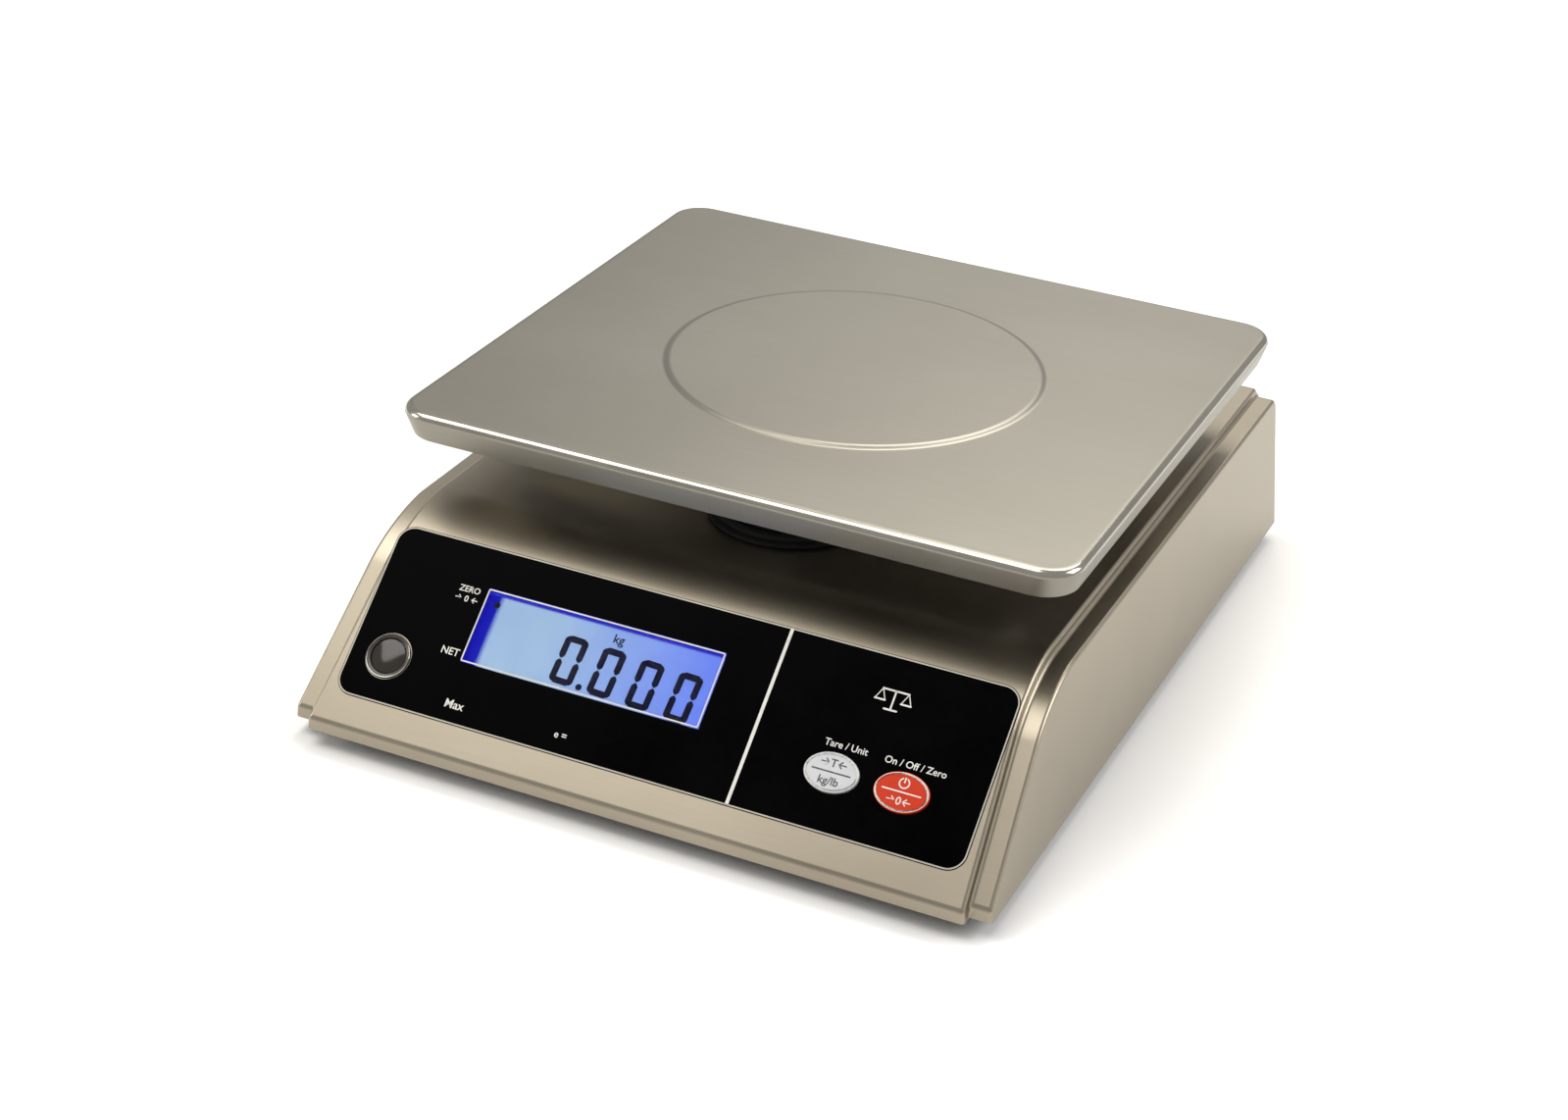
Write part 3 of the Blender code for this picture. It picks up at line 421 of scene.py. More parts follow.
# Natural rubber with carbon black: dull, and slightly dusty.
RUBBER = Finish(
    "carbon_black_rubber", "#151414", "#201F1E", 0.85, 0.08,
    grain=(0.5, 0.5, 0.5), grain_depth=0.03, mottle=(8.0, 8.0, 8.0),
)
# Aluminium as it leaves the sand or die, with a pebbled skin.
CAST_ALUMINIUM = Finish(
    "die_cast_aluminium", "#A2A3A3", "#B8B9BA", 0.48, 0.1, 1.0,
    grain=(0.8, 0.8, 0.8), grain_depth=0.03, mottle=(14.0, 14.0, 14.0),
)
# Milled aluminium: parallel cutter lines about 0.5 mm apart.
MILLED_ALUMINIUM = Finish(
    "milled_aluminium", "#B5B6B8", "#C6C7C9", 0.34, 0.08, 1.0,
    grain=(9.0, 0.5, 0.5), grain_depth=0.004,
)
# Bright zinc plating on steel screws.
ZINC = Finish(
    "zinc_plated_steel", "#A9AAA8", "#BFC0BD", 0.36, 0.1, 1.0,
    grain=(0.6, 0.6, 0.6), grain_depth=0.004, mottle=(4.0, 4.0, 4.0),
)
# Glass-fibre board under green solder mask, glossy over a faint weave.
SOLDER_MASK = Finish(
    "green_solder_mask", "#123F22", "#1B5530", 0.35, 0.08,
    grain=(0.5, 0.5, 0.5), grain_depth=0.008, mottle=(6.0, 2.0, 2.0), coat=0.3,
)
# Heat-shrunk PVC round the cells.
SHRINK_WRAP = Finish(
    "blue_pvc_shrink_wrap", "#20386B", "#2A477F", 0.4, 0.08,
    grain=(2.0, 12.0, 2.0), grain_depth=0.05, mottle=(12.0, 12.0, 12.0),
)
# Painted studio sweep: nearly white and matt.
PALE_FLOOR = Finish(
    "pale_matt_paint", "#F3F2F0", "#F6F5F4", 0.7, 0.05,
    grain=(4.0, 4.0, 4.0), grain_depth=0.004, mottle=(400.0, 400.0, 400.0),
)


# ---------------------------------------------------------------- mesh operators
def take(*objects: bpy.types.Object) -> bpy.types.Object:
    """Selects only these objects and makes the first one active.

    Args:
        objects: The objects.

    Returns:
        The first of them.
    """
    bpy.ops.object.select_all(action="DESELECT")
    for obj in objects:
        obj.select_set(True)
    bpy.context.view_layer.objects.active = objects[0]
    return objects[0]


def settle(obj: bpy.types.Object, name: str | None = None) -> bpy.types.Object:
    """Puts the object's place, turn and scale into its mesh.

    Args:
        obj: The object.
        name: Its new name, if it gets one.

    Returns:
        The same object.
    """
    take(obj)
    if obj.data.users > 1:
        obj.data = obj.data.copy()
    bpy.ops.object.transform_apply(location=True, rotation=True, scale=True)
    if name:
        obj.name = obj.data.name = name
    return obj


@contextmanager
def editing(obj: bpy.types.Object, element: Element = Element.FACE) -> Iterator[None]:
    """Opens the object in edit mode with nothing selected, and closes it again.

    Args:
        obj: The object to edit.
        element: What is going to be selected.
    """
    take(obj)
    bpy.ops.object.mode_set(mode="EDIT")
    bpy.ops.mesh.select_mode(type=element.value)
    bpy.ops.mesh.select_all(action="DESELECT")
    yield
    bpy.ops.object.mode_set(mode="OBJECT")


def pick(element: Element, test: Callable[[Vector, Vector], bool], sharp: float = 0.0) -> None:
    """Selects parts of the mesh in edit mode by their place.

    Args:
        element: Vertices, edges or faces.
        test: Takes the middle of a part and its normal, or an edge's direction, and says
            whether to take it.
        sharp: Edges whose two faces meet at less than this many degrees are left out.
    """
    bpy.ops.mesh.select_mode(type=element.value)
    bpy.ops.mesh.select_all(action="DESELECT")
    mesh = bmesh.from_edit_mesh(bpy.context.edit_object.data)
    if element is Element.FACE:
        found = [f for f in mesh.faces if test(f.calc_center_median(), f.normal)]
    elif element is Element.VERTEX:
        found = [v for v in mesh.verts if test(v.co, v.normal)]
    else:
        found = [
            e
            for e in mesh.edges
            if test(
                (e.verts[0].co + e.verts[1].co) / 2,
                (e.verts[1].co - e.verts[0].co).normalized(),
            )
            and (not sharp or math.degrees(e.calc_face_angle(0.0)) >= sharp)
        ]
    for part in found:
        part.select = True
    mesh.select_flush_mode()
    bmesh.update_edit_mesh(bpy.context.edit_object.data)


def bevel(width: float, segments: int = 4) -> None:
    """Rounds the selected edges in edit mode.

    Args:
        width: How far the round reaches from the edge.
        segments: Its number of steps.
    """
    bpy.ops.mesh.bevel(offset=width, segments=segments, profile=0.5, affect="EDGES")


def change(obj: bpy.types.Object, kind: str, **settings: Any) -> bpy.types.Object:
    """Adds a modifier and applies it.

    Args:
        obj: The object to change.
        kind: Blender's name for the kind of modifier.
        settings: The modifier's settings.

    Returns:
        The same object.
    """
    take(obj)
    modifier = obj.modifiers.new(kind.lower(), kind)
    for key, value in settings.items():
        setattr(modifier, key, value)
    bpy.ops.object.modifier_apply(modifier=modifier.name)
    return obj


def combine(
    obj: bpy.types.Object, joining: Joining, *tools: bpy.types.Object
) -> bpy.types.Object:
    """Cuts, adds or intersects with tool bodies, which are used up.

    Args:
        obj: The piece.
        joining: What the tools do to it.
        tools: The tool bodies.

    Returns:
        The piece.
    """
    for tool in tools:
        change(obj, "BOOLEAN", operation=joining.value, object=tool, solver="EXACT")
        bpy.data.objects.remove(tool, do_unlink=True)
    return obj


def merged(*objects: bpy.types.Object) -> bpy.types.Object:
    """Joins objects into one, as separate shells.

    Args:
        objects: The objects; the first one stays.

    Returns:
        The one object.
    """
    take(*objects)
    if len(objects) > 1:
        bpy.ops.object.join()
    return bpy.context.view_layer.objects.active


def tidy(obj: bpy.types.Object) -> bpy.types.Object:
    """Merges doubles and turns the faces outwards.

    Args:
        obj: The piece.

    Returns:
        The same piece.
    """
    with editing(obj, Element.VERTEX):
        bpy.ops.mesh.select_all(action="SELECT")
        bpy.ops.mesh.remove_doubles(threshold=0.002 * MM)
        bpy.ops.mesh.normals_make_consistent(inside=False)
    return obj


def block(
    name: str,
    size: Sequence[float],
    centre: Sequence[float],
    corner: float = 0.0,
    edge: float = 0.0,
    segments: int = 6,
) -> bpy.types.Object:
    """A block with round upright edges and softened top and bottom edges.

    Args:
        name: Its name.
        size: Its width, depth and height.
        centre: Its middle.
        corner: Radius of its upright edges.
        edge: Radius of its other edges.
        segments: Steps of the corner's round.

    Returns:
        The block.
    """
    bpy.ops.object.select_all(action="DESELECT")
    bpy.ops.mesh.primitive_cube_add(size=1, location=centre, scale=size)
    obj = settle(bpy.context.object, name)
    with editing(obj):
        if corner:
            pick(Element.EDGE, lambda _, way: abs(way.z) > 0.9)
            bevel(corner, segments)
        if edge:
            pick(Element.EDGE, lambda _, way: abs(way.z) < 0.1, sharp=40)
            bevel(edge, 3)
    return obj


def disc(
    name: str,
    radii: Sequence[float],
    low: float,
    high: float,
    centre: Sequence[float] = (0, 0),
    edge: float = 0.0,
    sides: int = 64,
) -> bpy.types.Object:
    """A round or oval disc with a softened top edge.

    Args:
        name: Its name.
        radii: Its half axes along X and Y.
        low: Height of its underside.
        high: Height of its top.
        centre: Its middle across and along.
        edge: Radius of its top edge.
        sides: Number of sides.

    Returns:
        The disc.
    """
    bpy.ops.object.select_all(action="DESELECT")
    bpy.ops.mesh.primitive_cylinder_add(
        vertices=sides,
        radius=1,
        depth=high - low,
        location=(centre[0], centre[1], (low + high) / 2),
        scale=(radii[0], radii[-1], 1),
    )
    obj = settle(bpy.context.object, name)
    if edge:
        with editing(obj):
            pick(Element.EDGE, lambda at, _: at.z > high - 1e-6)
            bevel(edge, 4)
    return obj


def turned(
    name: str, profile: Sequence[tuple[float, float]], at: Sequence[float], sides: int = 48
) -> bpy.types.Object:
    """A ring or a knob: an outline extruded point by point, then spun about Z.

    Args:
        name: Its name.
        profile: (radius, height) pairs in order round the outline.
        at: The place of its axis and of height 0.
        sides: Steps of the spin.

    Returns:
        The turned piece.
    """
    bpy.ops.object.select_all(action="DESELECT")
    bpy.ops.mesh.primitive_plane_add(size=1 * MM)
    obj = settle(bpy.context.object, name)
    with editing(obj, Element.VERTEX):
        pick(Element.VERTEX, lambda place, _: place.x < 0 or place.y < 0)
        bpy.ops.mesh.delete(type="VERT")
        bpy.ops.mesh.select_all(action="SELECT")
        bpy.ops.transform.translate(
            value=Vector((profile[0][0], 0, profile[0][1])) - Vector((0.5 * MM, 0.5 * MM, 0))
        )
        for (r0, z0), (r1, z1) in zip(profile, profile[1:]):
            bpy.ops.mesh.extrude_region_move(
                TRANSFORM_OT_translate={"value": (r1 - r0, 0, z1 - z0)}
            )
        bpy.ops.mesh.select_all(action="SELECT")
        bpy.ops.mesh.spin(steps=sides, angle=math.tau, center=(0, 0, 0), axis=(0, 0, 1))
        bpy.ops.mesh.select_all(action="SELECT")
        bpy.ops.mesh.remove_doubles(threshold=0.002 * MM)
        bpy.ops.mesh.normals_make_consistent(inside=False)
    obj.location = at
    return settle(obj)


def copy_to(obj: bpy.types.Object, name: str, shift: Sequence[float]) -> bpy.types.Object:
    """A copy with its own mesh, moved.

    Args:
        obj: The piece to copy.
        name: The copy's name.
        shift: How far it moves.

    Returns:
        The copy.
    """
    take(obj)
    bpy.ops.object.duplicate(linked=False)
    twin = bpy.context.object
    twin.location = shift
    return settle(twin, name)


def dress(
    obj: bpy.types.Object,
    finish: Finish,
    body: str,
    replaced: Sequence[str] = (),
    smooth: float = 32.0,
) -> bpy.types.Object:
    """Gives a finished piece its material and body, and reports it.

    Args:
        obj: The piece.
        finish: Its finish; one of a piece that already has its materials is left alone.
        body: The body it moves with.
        replaced: The CAD nodes that it stands for.
        smooth: Edges sharper than this many degrees stay sharp.

    Returns:
        The same piece.
    """
    if not obj.data.materials:
        obj.data.materials.append(finish.build())
    take(obj)
    bpy.ops.object.shade_smooth_by_angle(angle=math.radians(smooth))
    change(obj, "WEIGHTED_NORMAL", keep_sharp=True)
    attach(obj, body)
    if replaced:
        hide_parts(*replaced)
    LOG.info("%s on %s: %d faces", obj.name, body, len(obj.data.polygons))
    return obj


def finish_node(node: str, finish: Finish) -> None:
    """Gives a CAD node that keeps its own shape its finish.

    Args:
        node: The node's name.
        finish: The finish.
    """
    obj = NODES[node]
    obj.data.materials.clear()
    obj.data.materials.append(finish.build())
    LOG.info("%s keeps its shape, in %s", node, finish.name)


NODES: dict[str, bpy.types.Object] = {}


# ---------------------------------------------------------------- sub-assemblies
FACE_ANGLE = math.radians(42.0)
FACE_PLACE = (0.0, -118.298 * MM, 36.250 * MM)
FACE = Matrix.Translation(FACE_PLACE) @ Matrix.Rotation(FACE_ANGLE, 4, "X")


def on_face(obj: bpy.types.Object) -> bpy.types.Object:
    """Lays a piece made flat at the origin on the control face.

    Args:
        obj: The piece, with X across the face, Y up its slope and Z out of it.

    Returns:
        The same piece, in place.
    """
    obj.matrix_world = FACE @ obj.matrix_world
    return settle(obj)


@dataclass
class Wedge:
    """The form that the housing, its hollow, the control film and its recess are all cut from."""

    base_z: float = 5.4 * MM
    top_z: float = 56.5 * MM
    front_y: float = -143.5 * MM
    back_y: float = 148.0 * MM
    half_width: float = 118.3 * MM
    draft: float = math.radians(5.4)
    bend_radius: float = 48.0 * MM
    bend_y: float = -72.9 * MM
    back_radius: float = 4.0 * MM
    wall: float = 2.0 * MM
    edge: float = 1.3 * MM
    margin: float = 7.0 * MM
    raise_by: float = 3.0 * MM
    raised_front_y: float = -148.0 * MM

    def bend(self) -> Vector:
        """The axis of the bend between the face and the flat top."""
        return Vector((0, self.bend_y, self.top_z - self.bend_radius))

    def solid(
        self,
        name: str,
        inset: float,
        offset: float,
        front_y: float,
        bottom: float,
        back_inset: float = 0.0,
    ) -> bpy.types.Object:
        """A block cut to the wedge's planes, with its bend and back edge rounded.

        Args:
            name: Its name.
            inset: Distance from the housing's side walls.
            offset: Distance outside the margins' top and face.
            front_y: Its front plane.
            bottom: Height of its underside.
            back_inset: Distance from the housing's back wall.

        Returns:
            The solid.
        """
        top = self.top_z + offset
        back = self.back_y + min(offset, 0.0) - back_inset
        reach = self.bend_radius + offset
        bpy.ops.object.select_all(action="DESELECT")
        bpy.ops.mesh.primitive_cube_add(
            size=1,
            location=(0, (front_y + back) / 2, (top + bottom) / 2),
            scale=(3 * self.half_width, back - front_y, top - bottom),
        )
        obj = settle(bpy.context.object, name)
        lean_cos, lean_sin = math.cos(self.draft), math.sin(self.draft)
        normal = Vector((0, -math.sin(FACE_ANGLE), math.cos(FACE_ANGLE)))
        side = self.half_width - inset
        planes = (
            ((side, 0, self.base_z), (lean_cos, 0, lean_sin)),
            ((-side, 0, self.base_z), (-lean_cos, 0, lean_sin)),
            ((0, back, self.base_z), (0, lean_cos, lean_sin)),
            (self.bend() + normal * reach, normal),
        )
        corner = self.bend_y - math.tan(FACE_ANGLE / 2) * reach
        radius = max(self.back_radius + min(offset, 0.0), 1.0 * MM)
        with editing(obj):
            for place, outwards in planes:
                bpy.ops.mesh.select_all(action="SELECT")
                bpy.ops.mesh.bisect(
                    plane_co=place, plane_no=outwards, use_fill=True, clear_outer=True
                )
            pick(
                Element.EDGE,
                lambda at, way: abs(way.x) > 0.9
                and abs(at.z - top) < 0.1 * MM
                and at.y < corner + 1 * MM,
            )
            bevel(math.tan(FACE_ANGLE / 2) * reach, 16)
            pick(
                Element.EDGE,
                lambda at, way: abs(way.x) > 0.9 and abs(at.z - top) < 0.1 * MM and at.y > 100 * MM,
            )
            bevel(radius * math.tan((math.pi / 2 - self.draft) / 2), 5)
        return obj

    def soften(self, obj: bpy.types.Object, width: float) -> None:
        """Rounds every outer edge except the lower rim.

        Args:
            obj: The wedge.
            width: Radius of the round.
        """
        rim = self.base_z + 0.5 * MM
        with editing(obj):
            pick(Element.EDGE, lambda at, way: at.z > rim, sharp=25)
            bevel(width, 4)

    def skin(self, name: str, low: float, high: float, width: float) -> bpy.types.Object:
        """A sheet that follows the raised face and its bend.

        Args:
            name: Its name.
            low: Height of its underside above the raised face.
            high: Height of its top above the raised face.
            width: Its width.

        Returns:
            The sheet.
        """
        reach = self.bend_radius + self.raise_by + high
        out = Vector((0, -math.sin(FACE_ANGLE), math.cos(FACE_ANGLE)))
        down = Vector((0, -math.cos(FACE_ANGLE), -math.sin(FACE_ANGLE)))
        length = 75 * MM
        start = self.bend() + out * reach
        bpy.ops.object.select_all(action="DESELECT")
        bpy.ops.mesh.primitive_plane_add(
            size=1,
            location=start + down * length / 2,
            rotation=(FACE_ANGLE, 0, 0),
            scale=(width, length, 1),
        )
        obj = settle(bpy.context.object, name)
        with editing(obj):
            pick(Element.EDGE, lambda at, way: abs(way.x) > 0.9 and at.z > start.z - 1 * MM)
            bpy.ops.mesh.spin(
                steps=16, angle=FACE_ANGLE, center=self.bend(), axis=(-1, 0, 0)
            )
            bpy.ops.mesh.select_all(action="SELECT")
            bpy.ops.mesh.remove_doubles(threshold=0.002 * MM)
            bpy.ops.mesh.normals_make_consistent(inside=False)
        if obj.data.polygons[0].normal.z < 0:
            obj.data.flip_normals()
        return change(obj, "SOLIDIFY", thickness=high - low, offset=-1.0)


@dataclass
class ControlFace:
    """The film, display, keys and level on the sloped face; places are across and up the face."""

    wedge: Wedge
    width: float = 213.0 * MM
    height: float = 59.0 * MM
    corner: float = 6.0 * MM
    thickness: float = 0.8 * MM
    proud: float = 0.2 * MM
    gap: float = 0.3 * MM
    window: tuple[float, float] = (-27.7 * MM, 3.5 * MM)
    window_size: tuple[float, float] = (82.6 * MM, 25.0 * MM)
    lcd_frame: float = 3.5 * MM
    lcd_thickness: float = 5.0 * MM
    key_places: tuple[tuple[float, float], ...] = ((58.6 * MM, -10.8 * MM), (81.2 * MM, -10.8 * MM))
    key_radii: tuple[float, float] = (8.8 * MM, 6.3 * MM)
    key_proud: float = 0.8 * MM
    key_thickness: float = 3.4 * MM
    key_clearance: float = 0.35 * MM
    level: tuple[float, float] = (-92.8 * MM, -13.9 * MM)
    level_radius: float = 7.5 * MM
    level_ring: float = 1.4 * MM
    level_depth: float = 8.0 * MM
    divider_x: float = 31.0 * MM
    line: float = 0.45 * MM
    ink: float = 0.05 * MM
    digit_height: float = 16.0 * MM
    digit_pitch: float = 13.35 * MM
    digit_width: float = 6.0 * MM
    digit_stroke: float = 2.15 * MM

    def outline(self, name: str, grow: float) -> bpy.types.Object:
        """A prism with the film's outline, across the face.

        Args:
            name: Its name.
            grow: How much larger it is at each edge.

        Returns:
            The prism.
        """
        size = (self.width + 2 * grow, self.height + 2 * grow, 24 * MM)
        return on_face(block(name, size, (0, 0, 0), self.corner + grow, segments=8))

    def key_hole(self, place: Sequence[float], grow: float) -> bpy.types.Object:
        """A cutter through the face for one key."""
        radii = [r + grow for r in self.key_radii]
        return on_face(disc("key_cutter", radii, -16 * MM, 5 * MM, place))

    def cutters(self, grow: float, frame: float) -> list[bpy.types.Object]:
        """Cutters for the window, the level and both keys.

        Args:
            grow: Gap round each piece.
            frame: Width of the display's frame, where it must pass too.

        Returns:
            The cutters, on the face.
        """
        size = [side + 2 * (grow + frame) for side in self.window_size]
        window = on_face(block("window_cutter", (*size, 22 * MM), (*self.window, -5 * MM)))
        level = self.level_radius - (self.level_ring if frame else 0) + grow
        ring = on_face(disc("level_cutter", (level,), -16 * MM, 5 * MM, self.level))
        return [window, ring] + [
            self.key_hole(place, self.key_clearance) for place in self.key_places
        ]

    def printed(
        self, words: Sequence[tuple[str, float, float, float]], name: str, height: float
    ) -> bpy.types.Object:
        """Lettering as thin raised ink.

        Args:
            words: Each word with its middle across, its middle up, and its size.
            name: The piece's name.
            height: Height of the surface that it lies on, above the face.

        Returns:
            The ink, laid on the face.
        """
        pieces = []
        for text, x, up, size in words:
            bpy.ops.object.select_all(action="DESELECT")
            bpy.ops.object.text_add(location=(x, up, height + self.ink / 2))
            curve = bpy.context.object
            curve.data.body = text
            curve.data.size = size
            curve.data.align_x, curve.data.align_y = "CENTER", "CENTER"
            curve.data.extrude = self.ink / 2
            curve.data.offset = size * 0.012
            curve.data.resolution_u = 3
            bpy.ops.object.convert(target="MESH")
            pieces.append(settle(bpy.context.object, name))
        ink = on_face(merged(*pieces))
        ink.name = ink.data.name = name
        ink.data.materials.clear()
        return ink

    def strip(
        self,
        name: str,
        length: float,
        width: float,
        at: Sequence[float],
        height: float,
        turn: float = 0.0,
    ) -> bpy.types.Object:
        """A thin printed stroke with round ends, flat at the origin.

        Args:
            name: Its name.
            length: Its length.
            width: Its width.
            at: Its middle.
            height: Height of the surface that it lies on.
            turn: How far it is turned, in degrees.

        Returns:
            The stroke.
        """
        size = (length, width, self.ink)
        obj = block(
            name, size, (0, 0, height + self.ink / 2), 0.49 * min(length, width), segments=4
        )
        obj.rotation_euler.z = math.radians(turn)
        obj.location = (at[0], at[1], 0)
        return settle(obj)

    def make_film(self) -> None:
        """The black film, its pale outline and the divider."""
        low, high = self.proud - self.thickness, self.proud
        reach = self.width + 10 * MM
        film = self.wedge.skin("control_film", low, high, reach)
        combine(film, Joining.KEEP_COMMON, self.outline("film_form", 0))
        combine(film, Joining.CUT, *self.cutters(self.gap, 0))
        with editing(film):
            pick(Element.EDGE, lambda at, way: True, sharp=50)
            bevel(0.12 * MM, 2)
        dress(film, GLOSS_FILM, "base", ["control_panel"])
        border = self.wedge.skin("film_outline", high, high + self.ink, reach)
        combine(border, Joining.KEEP_COMMON, self.outline("outline_form", -0.25 * MM))
        combine(border, Joining.CUT, self.outline("outline_inside", -0.25 * MM - self.line))
        dress(border, SILVER_INK, "base")
        divider = self.wedge.skin("film_divider", high, high + self.ink, reach)
        strip = block(
            "divider_form", (1.1 * MM, self.height - 0.6 * MM, 24 * MM), (self.divider_x, 0, 0)
        )
        combine(divider, Joining.KEEP_COMMON, on_face(strip))
        dress(divider, WHITE_INK, "base")

    def make_legends(self) -> None:
        """The words and signs printed on the film."""
        up = self.proud
        words = [
            ("ZERO", -75.2, 13.9, 2.9),
            ("→ 0 ←", -75.2, 10.7, 2.9),
            ("NET", -73.4, -7.0, 3.4),
            ("Max", -65.0, -23.2, 3.9),
            ("e =", -27.6, -23.0, 3.2),
            ("Tare / Unit", 60.2, -2.0, 3.1),
            ("On / Off / Zero", 82.6, -2.2, 3.1),
        ]
        words = [(text, x * MM, y * MM, size * MM) for text, x, y, size in words]
        dress(self.printed(words, "film_legends", up), WHITE_INK, "base")
        x, y = 69.0 * MM, 16.0 * MM
        marks = [
            self.strip("balance_sign", 9.0 * MM, 0.55 * MM, (x, y + 2.6 * MM), up),
            self.strip("post", 6.4 * MM, 0.55 * MM, (x, y - 0.3 * MM), up, 90),
            self.strip("foot", 4.6 * MM, 0.6 * MM, (x, y - 3.5 * MM), up),
        ]
        for side in (-1, 1):
            pan = (x + side * 4.2 * MM, y - 0.9 * MM)
            marks.append(self.strip("pan", 3.8 * MM, 0.55 * MM, pan, up))
            for lean in (-1, 1):
                string = (pan[0] + lean * 0.8 * MM, pan[1] + 1.75 * MM)
                marks.append(self.strip("string", 3.6 * MM, 0.3 * MM, string, up, 90 + lean * 25))
        sign = on_face(merged(*marks))
        dress(sign, WHITE_INK, "base")

    def make_display(self) -> None:
        """The window pane with its outline, and the display behind it."""
        x, up = self.window
        wide, high = self.window_size
        low, top = self.proud - self.thickness, self.proud
        pane = block(
            "window_pane", (wide, high, top - low), (x, up, (top + low) / 2), 0.3 * MM,
            0.15 * MM,
        )
        dress(on_face(pane), CLEAR_ACRYLIC, "base", ["display_window"])
        frame = block(
            "window_outline", (wide, high, self.ink), (x, up, top + self.ink / 2), 0.6 * MM
        )
        opening = block(
            "window_inside", (wide - 2 * self.line, high - 2 * self.line, 1 * MM), (x, up, top)
        )
        combine(frame, Joining.CUT, opening)
        dress(on_face(frame), WHITE_INK, "base")
        lcd_top = low - self.gap
        size = (wide + 2 * self.lcd_frame, high + 2 * self.lcd_frame, self.lcd_thickness)
        lcd = block(
            "display_module", size, (x, up, lcd_top - self.lcd_thickness / 2), 0.5 * MM,
            0.3 * MM,
        )
        lcd.data.materials.append(BLACK_ABS.build())
        lcd.data.materials.append(LCD_BACKLIGHT.build())
        with editing(lcd):
            pick(Element.FACE, lambda at, normal: normal.z > 0.9)
            bpy.ops.mesh.inset(thickness=self.lcd_frame - 1.2 * MM)
            lcd.active_material_index = 1
            bpy.ops.object.material_slot_assign()
        dress(on_face(lcd), LCD_BACKLIGHT, "base", ["lcd_module"])
        self.make_digits(lcd_top)

    def make_digits(self, height: float) -> None:
        """The reading, built from one bar, with the unit and the zero mark.

        Args:
            height: Height of the display's surface above the face.
        """
        reach, wide, stroke = self.digit_height / 2, self.digit_width, self.digit_stroke
        thick = 2 * self.ink
        length = reach - 1.15 * stroke
        bar = block("bar", (length, stroke, thick), (0, 0, height + thick / 2))
        with editing(bar):
            for side in (-1, 1):
                pick(Element.FACE, lambda at, normal: normal.x * side > 0.9)
                bpy.ops.mesh.extrude_region_move(
                    TRANSFORM_OT_translate={"value": (side * 0.42 * stroke, 0, 0)}
                )
                bpy.ops.transform.resize(value=(1, 0.25, 1))
        across = settle_copy(bar, (wide - 0.6 * stroke) / length)
        upright = settle_copy(bar, 1.0, 90)
        bpy.data.objects.remove(bar, do_unlink=True)
        middle_up = -0.7 * MM
        bars = []
        for i in range(4):
            x = -34.8 * MM + i * self.digit_pitch
            for up in (-reach + stroke / 2, reach - stroke / 2):
                bars.append(copy_to(across, "bar", (x, middle_up + up, 0)))
            for up in (-reach / 2, reach / 2):
                for side in (-1, 1):
                    bars.append(
                        copy_to(upright, "bar", (x + side * wide / 2, middle_up + up * 0.97, 0))
                    )
        for tool in (across, upright):
            bpy.data.objects.remove(tool, do_unlink=True)
        dot = (-28.2 * MM, middle_up - reach + 1.0 * MM)
        bars.append(disc("dot", (1.05 * MM,), height, height + thick, dot, sides=24))
        digits = merged(*bars)
        slant = Matrix.Identity(4)
        slant[0][1] = math.tan(math.radians(4.5))
        digits.matrix_world = slant @ digits.matrix_world
        settle(digits)
        mark = disc("mark", (1.1 * MM,), height, height + thick, (-64.9 * MM, 11.7 * MM), sides=24)
        unit = self.printed([("kg", -21.6 * MM, 11.3 * MM, 4.2 * MM)], "display_unit", height)
        digits = merged(on_face(digits), on_face(mark), unit)
        digits.name = digits.data.name = "display_digits"
        dress(digits, LCD_SEGMENT, "base")

    def make_keys(self) -> None:
        """Both oval keys with their rings, lines and signs."""
        signs = (("→T←", "kg/lb"), ("", "→0←"))
        for name, place, sign, finish, ink in zip(
            ("tare", "power"), self.key_places, signs, (SILVER_KEY, RED_KEY), (DARK_INK, WHITE_INK)
        ):
            low = self.key_proud - self.key_thickness
            key = disc(f"{name}_key_cap", self.key_radii, low, self.key_proud, place, 0.45 * MM, 72)
            key.data.materials.append(finish.build())
            key.data.materials.append(WHITE_INK.build())
            with editing(key):
                pick(Element.FACE, lambda at, normal: normal.z > 0.95)
                bpy.ops.mesh.inset(thickness=0.15 * MM)
                bpy.ops.mesh.inset(thickness=0.5 * MM)
                pick(
                    Element.FACE,
                    lambda at, normal: normal.z > 0.95
                    and math.hypot(
                        (at.x - place[0]) / self.key_radii[0],
                        (at.y - place[1]) / self.key_radii[1],
                    ) > 0.8,
                )
                key.active_material_index = 1
                bpy.ops.object.material_slot_assign()
            dress(
                on_face(key), finish, f"{name}_key",
                [f"{name}_key"],
            )
            up = self.key_proud
            x, y = place
            line = self.strip("line", 12.6 * MM, 0.45 * MM, (x, y), up)
            parts = [on_face(line)]
            words = [
                (text, x, y + shift * MM, size * MM)
                for text, shift, size in zip(sign, (2.7, -2.9), (3.6, 3.5))
                if text
            ]
            parts.append(self.printed(words, "signs", up))
            if name == "power":
                parts.append(on_face(self.power_sign(x, y + 2.8 * MM, up)))
            signs_ink = merged(*parts)
            signs_ink.name = signs_ink.data.name = f"{name}_key_signs"
            dress(signs_ink, ink, f"{name}_key")

